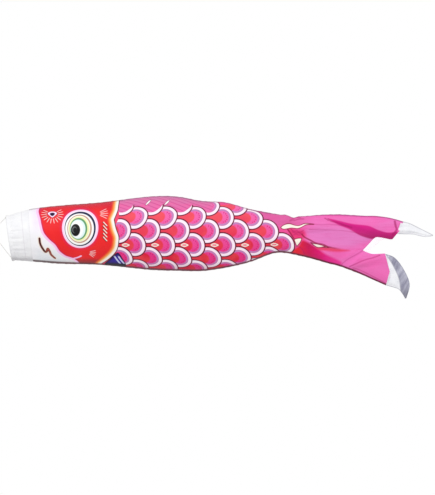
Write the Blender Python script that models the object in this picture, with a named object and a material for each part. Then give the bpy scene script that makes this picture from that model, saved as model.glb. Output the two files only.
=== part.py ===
"""A carp streamer: a printed cloth sleeve with an open mouth and a forked tail, on a two-leg bridle.

Metres, +Z up. The origin is inside the bend of the snap hook, where the pole's eye bears.
+X runs back to the tail and +Z up, so the fish's left side faces -Y.
"""

import math

import bmesh
import bpy
from mathutils import Matrix, Vector

# ---- Driving dimensions (metres, degrees) ----

CLOTH = 0.0006  # how thick each layer of cloth is made
SEAM_GAP = 0.0003  # between pieces that meet
HALF_SEAM = SEAM_GAP / 2

# Snap hook and swivel
HOOK_WIRE = 0.0011  # radius
HOOK_BEND = 0.0048  # radius of the bend's centreline
HOOK_BOSS = 0.0036  # radius
BOSS_FRONT, BOSS_BACK = 0.0185, 0.0262
GATE_PIN_X, GATE_PIN_Z = 0.0215, -0.0012
GATE_THICK = 0.0014
GATE_SLOT = 0.0022
PIN_RADIUS, PIN_HOLE = 0.0005, 0.00085
SHANK_RADIUS, SHANK_BACK = 0.0012, 0.0300
HEAD_RADIUS, HEAD_LENGTH = 0.0021, 0.0012
COLLAR_FRONT, COLLAR_BACK = 0.0266, 0.0290
COLLAR_RADIUS, COLLAR_HOLE = 0.0045, 0.0016
BAIL_WIRE, BAIL_BEND, BAIL_TURN_X = 0.0009, 0.0036, 0.0370
RING_WIRE, RING_BEND = 0.0008, 0.0050
RING_FRONT_X = BAIL_TURN_X + BAIL_BEND - BAIL_WIRE - SEAM_GAP - RING_WIRE
RING_X = RING_FRONT_X + RING_BEND

# Bridle: the knot stands ahead of the mouth and a little above its middle
CORD_RADIUS = 0.0006
KNOT_RADIUS = 0.0017
KNOT_X = RING_X + RING_BEND + 0.0045
MOUTH_X, MOUTH_Z = KNOT_X + 0.041, -0.013

# Mouth hoop
HOOP_RADIUS, HOOP_WIRE, HOOP_LEAN = 0.0515, 0.00125, 8.0
HOOP_BREAK = 90.0  # where its ends meet: the far side
JOINER_BORE, JOINER_RADIUS, JOINER_HALF_ARC = 0.00165, 0.0021, 7.0
HEM_RADIUS, HEM_OPEN, HEM_CLEAR = 0.0027, 35.0, 7.0

# Sleeve: distance behind the mouth, then the middle's height, half height and half width there
SLEEVE = (
    (0.000, 0.0000, 0.0515, 0.0515),
    (0.050, 0.0060, 0.0610, 0.0550),
    (0.115, 0.0080, 0.0680, 0.0585),
    (0.210, 0.0105, 0.0730, 0.0610),
    (0.330, 0.0115, 0.0860, 0.0610),
    (0.390, 0.0105, 0.0870, 0.0590),
    (0.450, 0.0050, 0.0820, 0.0550),
    (0.505, 0.0070, 0.0765, 0.0510),
    (0.562, 0.0060, 0.0620, 0.0430),
    (0.621, 0.0110, 0.0460, 0.0340),
    (0.660, 0.0065, 0.0440, 0.0280),
    (0.745, -0.0020, 0.0575, 0.0210),
    (0.818, -0.0165, 0.0715, 0.0150),
)
BAND_FRONT, BAND_BACK = 0.0045, 0.050
HEAD_BACK = 0.246
SHOULDER, SHOULDER_FOLD = 0.259, 0.026  # where the sleeve sways, and how long the fold is
WAIST, WAIST_FOLD = 0.438, 0.026
PEDUNCLE, TAIL_FOLD = 0.640, 0.020
ROOT_BACK = 0.809
LOBE, LOBE_FOLD = 0.818, 0.018

# Tail lobes: edges in side view, as (distance behind the mouth, height), and how far they bulge
UPPER_SEAM = ((0.8275, 0.0535), (0.855, 0.0510), (0.880, 0.0485), (0.905, 0.0440))
UPPER_MARGIN = ((0.8275, -0.0240), (0.842, -0.0120), (0.858, 0.0000), (0.905, 0.0030))
UPPER_TIP_SEAM = ((0.906, 0.0438), (0.930, 0.0370), (0.993, 0.0080))
UPPER_TIP_MARGIN = ((0.906, 0.0030), (0.950, 0.0010), (0.992, 0.0045))
LOWER_SEAM = ((0.8275, -0.0915), (0.855, -0.1030), (0.880, -0.1120))
LOWER_MARGIN = ((0.8275, -0.0300), (0.860, -0.0350), (0.884, -0.0400))
LOWER_TIP_SEAM = ((0.881, -0.1124), (0.900, -0.1260), (0.922, -0.1425))
LOWER_TIP_MARGIN = ((0.885, -0.0403), (0.925, -0.0730), (0.938, -0.1170), (0.927, -0.1420))
LOBE_BULGE = (0.0140, 0.0100)  # at the lobe's front and at its back
TIP_BULGE = (0.0098, 0.0030)


# ---- Curves through a few points ----


def through(points, t):
    """The point a share t of the way along a smooth curve through these points."""
    place = min(max(t, 0.0), 1.0) * (len(points) - 1)
    i = min(int(place), len(points) - 2)
    f = place - i
    before = points[max(i - 1, 0)]
    after = points[min(i + 2, len(points) - 1)]
    values = []
    for p, a, b, q in zip(before, points[i], points[i + 1], after):
        start, end = (b - p) / 2, (q - a) / 2
        values.append(
            a * (2 * f**3 - 3 * f**2 + 1)
            + start * (f**3 - 2 * f**2 + f)
            + b * (3 * f**2 - 2 * f**3)
            + end * (f**3 - f**2)
        )
    return values


def section(distance):
    """The sleeve's middle height, half height and half width at a distance behind the mouth."""
    i = 0
    while i < len(SLEEVE) - 2 and distance > SLEEVE[i + 1][0]:
        i += 1
    low, high = SLEEVE[i], SLEEVE[i + 1]
    before, after = SLEEVE[max(i - 1, 0)], SLEEVE[min(i + 2, len(SLEEVE) - 1)]
    step = high[0] - low[0]
    f = (distance - low[0]) / step
    values = []
    for k in (1, 2, 3):
        start = (high[k] - before[k]) / (high[0] - before[0]) * step
        end = (after[k] - low[k]) / (after[0] - low[0]) * step
        values.append(
            low[k] * (2 * f**3 - 3 * f**2 + 1)
            + start * (f**3 - 2 * f**2 + f)
            + high[k] * (3 * f**2 - 2 * f**3)
            + end * (f**3 - f**2)
        )
    return values


def from_mouth(distance, sideways, height):
    return Vector((MOUTH_X + distance, sideways, MOUTH_Z + height))


def sleeve_point(distance, angle, side):
    """A point of the sleeve's inner face. Angle 90 is the back and -90 the belly; side is -1 for left."""
    middle, tall, wide = section(distance)
    height = middle + tall * math.sin(math.radians(angle))
    lean = math.tan(math.radians(HOOP_LEAN)) * max(0.0, 1 - distance / 0.12)
    sideways = side * (HALF_SEAM + wide * max(0.0, math.cos(math.radians(angle))))
    return from_mouth(distance - lean * height, sideways, height)


def hoop_frame(angle):
    """A point of the hoop's centreline, and the directions outwards from its middle and back along its axis."""
    lean = math.radians(HOOP_LEAN)
    up = Vector((-math.sin(lean), 0, math.cos(lean)))
    outwards = up * math.cos(math.radians(angle)) + Vector((0, 1, 0)) * math.sin(math.radians(angle))
    back = Vector((math.cos(lean), 0, math.sin(lean)))
    return from_mouth(0, 0, 0) + outwards * HOOP_RADIUS, outwards, back


# ---- Making objects ----


def material(name, colour, roughness, metallic=0.0):
    made = bpy.data.materials.new(name)
    made.use_nodes = True
    shader = made.node_tree.nodes["Principled BSDF"]
    shader.inputs["Base Color"].default_value = (*colour, 1.0)
    shader.inputs["Roughness"].default_value = roughness
    shader.inputs["Metallic"].default_value = metallic
    return made


def moving_body(name, place, parent=None):
    """An empty on a joint's axis, which carries the pieces that turn together."""
    empty = bpy.data.objects.new(name, None)
    bpy.context.scene.collection.objects.link(empty)
    empty.empty_display_size = 0.02
    empty.parent = parent
    empty.location = Vector(place) - (Vector(parent["place"]) if parent else Vector())
    empty["place"] = list(place)
    return empty


def add(name, data, body, look):
    """Links an object whose data is in the part's frame, with its origin on its body's joint."""
    data.transform(Matrix.Translation(-Vector(body["place"])))
    data.materials.append(look)
    made = bpy.data.objects.new(name, data)
    made.parent = body
    bpy.context.scene.collection.objects.link(made)
    return made


def smooth(made, sharp_above=40):
    made.data.shade_smooth()
    made.data.set_sharp_from_angle(angle=math.radians(sharp_above))
    return made


def grid_mesh(name, place_of, across, along):
    """A sheet of across by along quads, where place_of(s, t) gives the point at shares s and t."""
    shape = bmesh.new()
    rows = []
    for j in range(along + 1):
        rows.append([shape.verts.new(place_of(i / across, j / along)) for i in range(across + 1)])
    for near, far in zip(rows, rows[1:]):
        for i in range(across):
            shape.faces.new((near[i], near[i + 1], far[i + 1], far[i]))
    data = bpy.data.meshes.new(name)
    shape.to_mesh(data)
    shape.free()
    return data


def cloth(name, place_of, across, along, body, look, flip=False):
    """A layer of cloth, thickened outwards from the face that place_of gives."""
    data = grid_mesh(name, place_of, across, along)
    if flip:
        data.flip_normals()
    made = add(name, data, body, look)
    thicken = made.modifiers.new("Cloth", "SOLIDIFY")
    thicken.thickness = CLOTH
    thicken.offset = 1.0
    thicken.use_even_offset = True
    return smooth(made)


def tube(name, points, radius, body, look, closed=False, sides=8):
    """A round bar along these points, with flat ends unless it is closed."""
    curve = bpy.data.curves.new(name, "CURVE")
    curve.dimensions = "3D"
    curve.bevel_depth = radius
    curve.bevel_resolution = sides // 2 - 2
    curve.use_fill_caps = not closed
    line = curve.splines.new("POLY")
    line.points.add(len(points) - 1)
    for spot, point in zip(line.points, points):
        spot.co = (*point, 1.0)
    line.use_cyclic_u = closed
    return add(name, curve, body, look)


def bar(name, start, end, radius, body, look, sides=16, bore=0.0):
    """A turned bar from start to end, bored right through if it has a bore."""
    start, end = Vector(start), Vector(end)
    axis = end - start
    turn = axis.to_track_quat("Z", "Y").to_matrix()
    shape = bmesh.new()
    rings = []
    for place in (start, end):
        for size in (radius, bore) if bore else (radius,):
            ring = []
            for i in range(sides):
                a = 2 * math.pi * i / sides
                ring.append(shape.verts.new(place + turn @ Vector((size * math.cos(a), size * math.sin(a), 0))))
            rings.append(ring)
    pairs = [(0, 2), (2, 3), (3, 1), (1, 0)] if bore else [(0, 1)]
    for a, b in pairs:
        for i in range(sides):
            k = (i + 1) % sides
            shape.faces.new((rings[a][i], rings[a][k], rings[b][k], rings[b][i]))
    if not bore:
        shape.faces.new(list(reversed(rings[0])))
        shape.faces.new(rings[1])
    bmesh.ops.recalc_face_normals(shape, faces=shape.faces)
    data = bpy.data.meshes.new(name)
    shape.to_mesh(data)
    shape.free()
    return smooth(add(name, data, body, look))


def ball(name, centre, radius, body, look):
    shape = bmesh.new()
    bmesh.ops.create_uvsphere(shape, u_segments=12, v_segments=8, radius=radius)
    bmesh.ops.translate(shape, verts=shape.verts, vec=Vector(centre))
    data = bpy.data.meshes.new(name)
    shape.to_mesh(data)
    shape.free()
    return smooth(add(name, data, body, look))


def block(name, low, high, body, look):
    low, high = Vector(low), Vector(high)
    shape = bmesh.new()
    bmesh.ops.create_cube(shape, size=1.0)
    bmesh.ops.scale(shape, verts=shape.verts, vec=high - low)
    bmesh.ops.translate(shape, verts=shape.verts, vec=(low + high) / 2)
    data = bpy.data.meshes.new(name)
    shape.to_mesh(data)
    shape.free()
    return add(name, data, body, look)


def combine(target, tool, operation):
    """Unites a tool with the target, or cuts it away, and keeps the tool as a wire guide."""
    change = target.modifiers.new(tool.name, "BOOLEAN")
    change.operation = operation
    change.solver = "EXACT"
    change.object = tool
    tool.hide_render = True
    tool.display_type = "WIRE"
    return target


def as_mesh(curve_object):
    """Replaces a curve object by the mesh that it shows, so that a Boolean can use it."""
    seen = curve_object.evaluated_get(bpy.context.evaluated_depsgraph_get())
    data = bpy.data.meshes.new_from_object(seen)
    made = bpy.data.objects.new(curve_object.name + "_solid", data)
    made.parent = curve_object.parent
    bpy.context.scene.collection.objects.link(made)
    name = curve_object.name
    bpy.data.objects.remove(curve_object)
    made.name = name
    return made


def arc(centre, radius, start, end, steps):
    """Points of an arc in the XZ plane, by angle from +X towards +Z."""
    points = []
    for i in range(steps + 1):
        a = math.radians(start + (end - start) * i / steps)
        points.append((centre[0] + radius * math.cos(a), 0.0, centre[1] + radius * math.sin(a)))
    return points


# ---- Snap hook and swivel ----


def make_hook(hook, gate, steel):
    """The hook's bent wire and boss, with a headed shank that the swivel eye turns on."""
    bend_x = HOOK_BEND - HOOK_WIRE
    wire = [(bend_x + 0.0042, 0.0, -HOOK_BEND)]
    wire += arc((bend_x, 0.0), HOOK_BEND, 270, 90, 12)
    wire += [(BOSS_FRONT - 0.004, 0.0, HOOK_BEND)]
    wire += [(BOSS_FRONT - 0.0012, 0.0, HOOK_BEND - 0.0007)]
    wire += [(BOSS_FRONT + 0.0012, 0.0, HOOK_BEND - 0.0026)]
    bent = as_mesh(tube("hook_wire", wire, HOOK_WIRE, hook, steel))
    body = bar("hook_body", (BOSS_FRONT, 0, 0), (BOSS_BACK, 0, 0), HOOK_BOSS, hook, steel, sides=20)
    shank = bar("hook_shank", (BOSS_BACK - 0.002, 0, 0), (SHANK_BACK, 0, 0), SHANK_RADIUS, hook, steel)
    head = bar("hook_head", (SHANK_BACK - 0.0004, 0, 0), (SHANK_BACK + HEAD_LENGTH, 0, 0), HEAD_RADIUS, hook, steel)
    combine(body, bent, "UNION")
    combine(body, shank, "UNION")
    combine(body, head, "UNION")
    slot = block(
        "gate_slot",
        (BOSS_FRONT - 0.002, -GATE_SLOT / 2, -0.006),
        (GATE_PIN_X + 0.0032, GATE_SLOT / 2, GATE_PIN_Z + 0.0022),
        hook,
        steel,
    )
    combine(body, slot, "DIFFERENCE")
    pin_x, pin_z = GATE_PIN_X, GATE_PIN_Z
    hole = bar("pin_hole", (pin_x, -0.006, pin_z), (pin_x, 0.006, pin_z), PIN_HOLE, hook, steel)
    combine(body, hole, "DIFFERENCE")
    reach = HOOK_BOSS - 0.0002
    bar("gate_pin", (pin_x, -reach, pin_z), (pin_x, reach, pin_z), PIN_RADIUS, hook, steel)

    eye = bar(
        "hook_gate",
        (pin_x, -GATE_THICK / 2, pin_z),
        (pin_x, GATE_THICK / 2, pin_z),
        0.0016,
        gate,
        steel,
    )
    nose_x = bend_x + 0.0042 + SEAM_GAP
    lever = [
        (pin_x - 0.0010, 0.0, pin_z - 0.0004),
        (pin_x - 0.0045, 0.0, pin_z - 0.0022),
        (nose_x + 0.0030, 0.0, -HOOK_BEND + 0.0003),
        (nose_x, 0.0, -HOOK_BEND),
    ]
    combine(eye, as_mesh(tube("gate_lever", lever, GATE_THICK / 2 - 0.00002, gate, steel)), "UNION")
    bore = bar("gate_bore", (pin_x, -0.006, pin_z), (pin_x, 0.006, pin_z), PIN_HOLE, gate, steel)
    combine(eye, bore, "DIFFERENCE")

    spring_x = pin_x + 0.0024
    block(
        "gate_spring",
        (spring_x - 0.00015, -0.0006, pin_z - 0.0016),
        (spring_x + 0.00015, 0.0006, pin_z + 0.0016),
        hook,
        steel,
    )


def make_swivel(swivel, ring, steel):
    """The eye that turns on the hook's shank, and the bridle ring hanging in it."""
    collar = bar(
        "swivel_eye",
        (COLLAR_FRONT, 0, 0),
        (COLLAR_BACK, 0, 0),
        COLLAR_RADIUS,
        swivel,
        steel,
        sides=20,
        bore=COLLAR_HOLE,
    )
    bail = [(COLLAR_FRONT + 0.0010, 0.0, -BAIL_BEND)]
    bail += arc((BAIL_TURN_X, 0.0), BAIL_BEND, -90, 90, 12)
    bail += [(COLLAR_FRONT + 0.0010, 0.0, BAIL_BEND)]
    combine(collar, as_mesh(tube("swivel_bail", bail, BAIL_WIRE, swivel, steel)), "UNION")

    turn = []
    steps = 20
    for i in range(steps):
        a = 2 * math.pi * i / steps
        turn.append((RING_X + RING_BEND * math.cos(a), RING_BEND * math.sin(a), 0.0))
    tube("bridle_ring", turn, RING_WIRE, ring, steel, closed=True)


# ---- Bridle ----


def tied_loop(name, centre, wire_radius, towards, body, look):
    """A cord tied round a wire that runs sideways at centre: its loop, and its knot in the given direction."""
    towards = Vector(towards).normalized()
    inner = wire_radius + SEAM_GAP
    turn = []
    steps = 14
    for i in range(steps):
        a = 2 * math.pi * i / steps
        size = inner + CORD_RADIUS + 0.00015
        turn.append((centre[0] + size * math.cos(a), 0.0, centre[2] + size * math.sin(a)))
    loop = as_mesh(tube(name + "_loop", turn, CORD_RADIUS + 0.00015, body, look, closed=True))
    middle = Vector(centre) + towards * (inner + 2 * CORD_RADIUS + KNOT_RADIUS)
    knot = ball(name, middle, KNOT_RADIUS, body, look)
    combine(knot, loop, "UNION")
    return middle + towards * (KNOT_RADIUS + SEAM_GAP)


def make_cord(name, start, end, body, look):
    """A taut cord between two knots, a little slack, so that it bows forward by a millimetre."""
    start, end = Vector(start), Vector(end)
    length = (end - start).length
    steps = max(8, round(length / (5 * CORD_RADIUS)))
    bow = (start + end) / 2 + Vector((-0.001, 0, 0))
    route = (tuple(start), tuple(bow), tuple(end))
    points = [through(route, i / steps) for i in range(steps + 1)]
    tube(name, points, CORD_RADIUS, body, look)


def make_bridle(bridle, mouth, cord):
    """The knot on the bridle ring, the two legs, and the knots that tie them to the hoop."""
    front = Vector((RING_X + RING_BEND, 0.0, 0.0))
    tied_loop("bridle_knot", front, RING_WIRE, (1, 0, 0), bridle, cord)
    apex = Vector((KNOT_X, 0.0, 0.0))
    for name, angle in (("upper", 0.0), ("lower", 180.0)):
        place = hoop_frame(angle)[0]
        end = tied_loop(name + "_hoop_knot", place, HOOP_WIRE, apex - place, mouth, cord)
        start = apex + (end - apex).normalized() * (KNOT_RADIUS + 0.0009)
        make_cord(name + "_bridle_cord", start, end, bridle, cord)


# ---- Mouth ----


def make_hoop(mouth, wire, metal):
    """The hoop, an open ring of stiff wire, and the sleeve that joins its ends."""
    gap = 0.4
    steps = 44
    points = []
    for i in range(steps + 1):
        points.append(hoop_frame(HOOP_BREAK + gap + (360 - 2 * gap) * i / steps)[0])
    tube("mouth_hoop", points, HOOP_WIRE, mouth, wire)

    def joiner_mesh():
        shape = bmesh.new()
        rows = []
        sides, runs = 12, 6
        for j in range(runs + 1):
            angle = HOOP_BREAK - JOINER_HALF_ARC + 2 * JOINER_HALF_ARC * j / runs
            place, outwards, back = hoop_frame(angle)
            for size in (JOINER_RADIUS, JOINER_BORE):
                ring = []
                for i in range(sides):
                    a = 2 * math.pi * i / sides
                    ring.append(shape.verts.new(place + size * (outwards * math.cos(a) + back * math.sin(a))))
                rows.append(ring)
        strips = [(2 * j + k, 2 * j + 2 + k) for j in range(runs) for k in (0, 1)]
        strips += [(0, 1), (2 * runs, 2 * runs + 1)]
        for a, b in strips:
            for i in range(sides):
                k = (i + 1) % sides
                shape.faces.new((rows[a][i], rows[a][k], rows[b][k], rows[b][i]))
        bmesh.ops.recalc_face_normals(shape, faces=shape.faces)
        data = bpy.data.meshes.new("hoop_joiner")
        shape.to_mesh(data)
        shape.free()
        return data

    smooth(add("hoop_joiner", joiner_mesh(), mouth, metal))


def make_mouth_cloth(mouth, white):
    """Each side's hem, folded round the hoop and open behind it, and the plain band behind the hem."""

    for side, word in ((-1, "left"), (1, "right")):

        def hem_point(s, t, side=side):
            angle = side * (HEM_CLEAR + (180 - 2 * HEM_CLEAR) * t)
            place, outwards, back = hoop_frame(angle)
            turn = math.radians(-180 + HEM_OPEN + (360 - 2 * HEM_OPEN) * s)
            return place + HEM_RADIUS * (outwards * math.sin(turn) - back * math.cos(turn))

        cloth(f"mouth_hem_{word}", hem_point, 8, 14, mouth, white, flip=side < 0)
        sleeve_panel(f"mouth_band_{word}", BAND_FRONT, BAND_BACK, side, mouth, white, along=3)


# ---- Sleeve ----


def sleeve_panel(name, front, back, side, body, look, along, across=14):
    """One side of the sleeve between two distances behind the mouth."""

    def place_of(s, t):
        distance = front + HALF_SEAM + (back - front - SEAM_GAP) * t
        return sleeve_point(distance, -90 + 180 * s, side)

    cloth(name, place_of, across, along, body, look, flip=side < 0)


def sleeve_fold(name, middle, length, body, look, across=28):
    """A ring of the sleeve's cloth where it bends, the same all round."""
    shape_rows = 2

    def place_of(i, t):
        distance = middle - length / 2 + HALF_SEAM + (length - SEAM_GAP) * t
        angle = 360 * i / across
        tilt = angle if angle <= 90 else 180 - angle if angle <= 270 else angle - 360
        side = 1 if angle <= 90 or angle > 270 else -1
        point = sleeve_point(distance, tilt, side)
        if abs(abs(tilt) - 90) < 0.01:
            point.y = 0.0
        return point

    shape = bmesh.new()
    rows = []
    for j in range(shape_rows + 1):
        rows.append([shape.verts.new(place_of(i, j / shape_rows)) for i in range(across)])
    for near, far in zip(rows, rows[1:]):
        for i in range(across):
            k = (i + 1) % across
            shape.faces.new((near[i], near[k], far[k], far[i]))
    data = bpy.data.meshes.new(name)
    shape.to_mesh(data)
    shape.free()
    made = add(name, data, body, look)
    thicken = made.modifiers.new("Cloth", "SOLIDIFY")
    thicken.thickness = CLOTH
    thicken.offset = 1.0
    thicken.use_even_offset = True
    smooth(made)


# ---- Tail ----


def lobe_profile(share):
    """How far a lobe bulges, from 0 at its seam to most in the middle and about half at its open margin."""
    return math.sin(math.pi * min(share, 1.0) ** 0.8 * 0.83)


def lobe_panel(name, seam, margin, bulge, side, body, look, across=7, along=7):
    """One side of a tail lobe, between its sewn edge and its open margin."""

    def place_of(s, t):
        outer, inner = through(seam, t), through(margin, t)
        distance = outer[0] + (inner[0] - outer[0]) * s
        height = outer[1] + (inner[1] - outer[1]) * s
        wide = bulge[0] + (bulge[1] - bulge[0]) * t
        return from_mouth(distance, side * (HALF_SEAM + wide * lobe_profile(s)), height)

    downwards = seam[0][1] > margin[0][1]
    cloth(name, place_of, across, along, body, look, flip=(side > 0) == downwards)


def lobe_fold(name, seam_height, margin_height, body, look):
    """The bending cloth between the tail root and a lobe, both sides in one piece."""
    downwards = seam_height > margin_height

    def place_of(s, t):
        share = abs(2 * s - 1)
        side = 1 if s > 0.5 else -1
        height = seam_height + (margin_height - seam_height) * share
        distance = LOBE - LOBE_FOLD / 2 + HALF_SEAM + (LOBE_FOLD - SEAM_GAP) * t
        return from_mouth(distance, side * LOBE_BULGE[0] * lobe_profile(share), height)

    cloth(name, place_of, 12, 2, body, look, flip=downwards)


# ---- The whole streamer ----


def build():
    for old in list(bpy.data.objects):
        bpy.data.objects.remove(old)

    steel = material("steel", (0.72, 0.72, 0.74), 0.25, 1.0)
    cord = material("bridle_cord", (0.86, 0.86, 0.84), 0.8)
    wire = material("hoop_wire", (0.90, 0.90, 0.88), 0.4)
    white = material("white_cloth", (0.93, 0.93, 0.94), 0.75)
    face = material("face_print", (0.85, 0.08, 0.12), 0.7)
    pink = material("scale_print", (0.90, 0.16, 0.42), 0.7)
    magenta = material("tail_print", (0.86, 0.15, 0.45), 0.7)

    hook = moving_body("hook_joint", (0, 0, 0))
    gate = moving_body("gate_joint", (GATE_PIN_X, 0, GATE_PIN_Z), hook)
    swivel = moving_body("swivel_joint", (COLLAR_FRONT, 0, 0), hook)
    ring = moving_body("ring_joint", (RING_FRONT_X, 0, 0), swivel)
    bridle = moving_body("bridle_joint", (RING_X, 0, 0), ring)
    mouth = moving_body("mouth_joint", (MOUTH_X, 0, MOUTH_Z), bridle)
    fore = moving_body("shoulder_joint", (MOUTH_X + SHOULDER, 0, MOUTH_Z), mouth)
    rear = moving_body("waist_joint", (MOUTH_X + WAIST, 0, MOUTH_Z), fore)
    tail = moving_body("tail_joint", (MOUTH_X + PEDUNCLE, 0, MOUTH_Z), rear)
    upper = moving_body("upper_lobe_joint", (MOUTH_X + LOBE, 0, MOUTH_Z), tail)
    lower = moving_body("lower_lobe_joint", (MOUTH_X + LOBE, 0, MOUTH_Z), tail)

    make_hook(hook, gate, steel)
    make_swivel(swivel, ring, steel)
    make_bridle(bridle, mouth, cord)
    make_hoop(mouth, wire, steel)
    make_mouth_cloth(mouth, white)

    for side, word in ((-1, "left"), (1, "right")):
        sleeve_panel(f"head_panel_{word}", BAND_BACK, HEAD_BACK, side, mouth, face, along=7)
        front, back = SHOULDER + SHOULDER_FOLD / 2, WAIST - WAIST_FOLD / 2
        sleeve_panel(f"fore_body_panel_{word}", front, back, side, fore, pink, along=6)
        front, back = WAIST + WAIST_FOLD / 2, PEDUNCLE - TAIL_FOLD / 2
        sleeve_panel(f"rear_body_panel_{word}", front, back, side, rear, pink, along=7)
        front = PEDUNCLE + TAIL_FOLD / 2
        sleeve_panel(f"tail_root_panel_{word}", front, ROOT_BACK, side, tail, magenta, along=5)
        lobe_panel(f"upper_lobe_panel_{word}", UPPER_SEAM, UPPER_MARGIN, LOBE_BULGE, side, upper, magenta)
        lobe_panel(f"lower_lobe_panel_{word}", LOWER_SEAM, LOWER_MARGIN, LOBE_BULGE, side, lower, magenta)
        lobe_panel(f"upper_white_tip_{word}", UPPER_TIP_SEAM, UPPER_TIP_MARGIN, TIP_BULGE, side, upper, white)
        lobe_panel(f"lower_white_tip_{word}", LOWER_TIP_SEAM, LOWER_TIP_MARGIN, TIP_BULGE, side, lower, white)

    sleeve_fold("shoulder_fold", SHOULDER, SHOULDER_FOLD, fore, pink)
    sleeve_fold("waist_fold", WAIST, WAIST_FOLD, rear, pink)
    sleeve_fold("tail_fold", PEDUNCLE, TAIL_FOLD, tail, magenta)
    lobe_fold("upper_lobe_fold", UPPER_SEAM[0][1], UPPER_MARGIN[0][1], upper, magenta)
    lobe_fold("lower_lobe_fold", LOWER_SEAM[0][1], LOWER_MARGIN[0][1], lower, magenta)


build()
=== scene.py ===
# %% [markdown]
# # A carp streamer for a balcony pole
#
# A carp streamer is a printed polyester sleeve. Its open mouth is held round by a hoop, and the wind
# fills it from there. The packed model gives the hook, the swivel, the hoop and plain cloth solids, in
# metres, with the fish's left side facing -Y. This script keeps the metal parts, and makes the cloth,
# the print, the sewing and the cords again at the detail that the real ones have.
# %% Load the frame
import math

import bpy
import numpy as np
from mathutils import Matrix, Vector


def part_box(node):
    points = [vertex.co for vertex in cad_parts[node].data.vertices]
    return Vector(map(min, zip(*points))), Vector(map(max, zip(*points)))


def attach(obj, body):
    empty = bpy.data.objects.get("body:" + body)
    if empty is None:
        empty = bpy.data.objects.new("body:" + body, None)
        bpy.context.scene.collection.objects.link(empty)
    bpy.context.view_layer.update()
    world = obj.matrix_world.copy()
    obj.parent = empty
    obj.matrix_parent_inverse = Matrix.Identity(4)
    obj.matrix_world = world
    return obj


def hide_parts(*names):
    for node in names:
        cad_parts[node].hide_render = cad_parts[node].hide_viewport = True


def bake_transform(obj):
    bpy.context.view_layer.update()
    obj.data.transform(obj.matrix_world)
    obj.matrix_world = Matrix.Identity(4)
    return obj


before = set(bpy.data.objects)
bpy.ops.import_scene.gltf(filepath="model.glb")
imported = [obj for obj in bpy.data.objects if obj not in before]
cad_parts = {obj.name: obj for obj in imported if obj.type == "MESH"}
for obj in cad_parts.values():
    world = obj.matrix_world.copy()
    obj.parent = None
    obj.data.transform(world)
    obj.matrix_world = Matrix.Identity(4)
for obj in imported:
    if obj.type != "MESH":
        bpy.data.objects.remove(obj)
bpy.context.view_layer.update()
bpy.ops.object.select_all(action="DESELECT")
# %% [markdown]
# ## Where things are
#
# Everything on the sleeve is laid out from the middle of the mouth hoop, in millimetres: u runs back
# towards the tail and h runs up. The hoop's own box gives that middle.
# %% The middle of the mouth
MM = 0.001
hoop_low, hoop_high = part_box("mouth_hoop")
mouth = (hoop_low + hoop_high) / 2
KNOT_HALF = 1.7 * MM
apex = Vector((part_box("bridle_knot")[1].x - KNOT_HALF, 0, 0))
print("mouth", [round(x, 4) for x in mouth], "bridle knot", [round(x, 4) for x in apex])


def at(u, y, h):
    """A place in metres, from millimetres behind the mouth, sideways and above its middle."""
    return Vector((mouth.x + u * MM, y * MM, mouth.z + h * MM))


def placed(name, data):
    """Puts a mesh, a camera or a lamp in the scene, as an object at the origin."""
    made = bpy.data.objects.new(name, data)
    bpy.context.scene.collection.objects.link(made)
    return made


# %% [markdown]
# ## The camera
#
# The streamer is looked at square on from its left side, from fourteen metres with a long lens, so that
# the sleeve shows its whole length with hardly any perspective.
# %% Make the camera
view_height = 1.159  # metres of the scene that the frame's height takes in at the sleeve
view_distance = 14.0
aim = at(486, 0, -22)
camera_data = bpy.data.cameras.new("camera")
camera_data.sensor_width = 36.0
camera_data.lens = camera_data.sensor_width * view_distance / view_height
camera = placed("camera", camera_data)
camera.location = aim + Vector((0, -view_distance, 0))
camera.rotation_euler = (math.radians(90), 0, 0)
bpy.context.scene.camera = camera
print("lens", round(camera_data.lens, 1), "mm")
# %% [markdown]
# ## A small language for materials
#
# A material is a graph of nodes. Writing it as sums on named values reads better than placing nodes one
# by one, so `Field` wraps one socket and Python's operators add the Math nodes. `Graph` makes any
# other node with one method and joins colours with Mix nodes, and `Finish` is one material's graph.
# %% Fields
def linear(red, green, blue):
    """A dye's colour from its 0 to 255 screen values."""
    values = []
    for value in (red, green, blue):
        share = value / 255
        values.append(share / 12.92 if share <= 0.04045 else ((share + 0.055) / 1.055) ** 2.4)
    return (*values, 1.0)


class Field:
    """A number that varies over a surface."""

    def __init__(self, finish, socket):
        self.finish = finish
        self.socket = socket

    def do(self, operation, *others):
        """Another Math operation on this field."""
        return self.finish.math(operation, self, *others)

    def __add__(self, other):
        return self.do("ADD", other)

    def __sub__(self, other):
        return self.do("SUBTRACT", other)

    def __mul__(self, other):
        return self.do("MULTIPLY", other)

    def __truediv__(self, other):
        return self.do("DIVIDE", other)

    def __rsub__(self, other):
        return self.finish.math("SUBTRACT", other, self)

    def __rtruediv__(self, other):
        return self.finish.math("DIVIDE", other, self)

    def __neg__(self):
        return self.do("MULTIPLY", -1.0)

    __radd__ = __add__
    __rmul__ = __mul__

    def size(self):
        """The field without its sign."""
        return self.do("ABSOLUTE")

    def least(self, other):
        return self.do("MINIMUM", other)

    def most(self, other):
        return self.do("MAXIMUM", other)

    def below(self, limit, edge=0.5):
        """1 where the field is under the limit and 0 above it, with an edge that many units wide."""
        return self.finish.clamped((limit - self) / edge + 0.5)

    def above(self, limit, edge=0.5):
        """1 where the field is over the limit, and 0 below it."""
        return self.finish.clamped((self - limit) / edge + 0.5)

    def between(self, low, high, edge=0.5):
        """1 from one limit to the other."""
        return self.above(low, edge) * self.below(high, edge)

    def choose(self, first, second):
        """The first where the field is 0, and the second where it is 1."""
        return first + (second - first) * self


print("a dye of 128 reflects", round(linear(128, 128, 128)[0], 3), "of the light")


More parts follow.
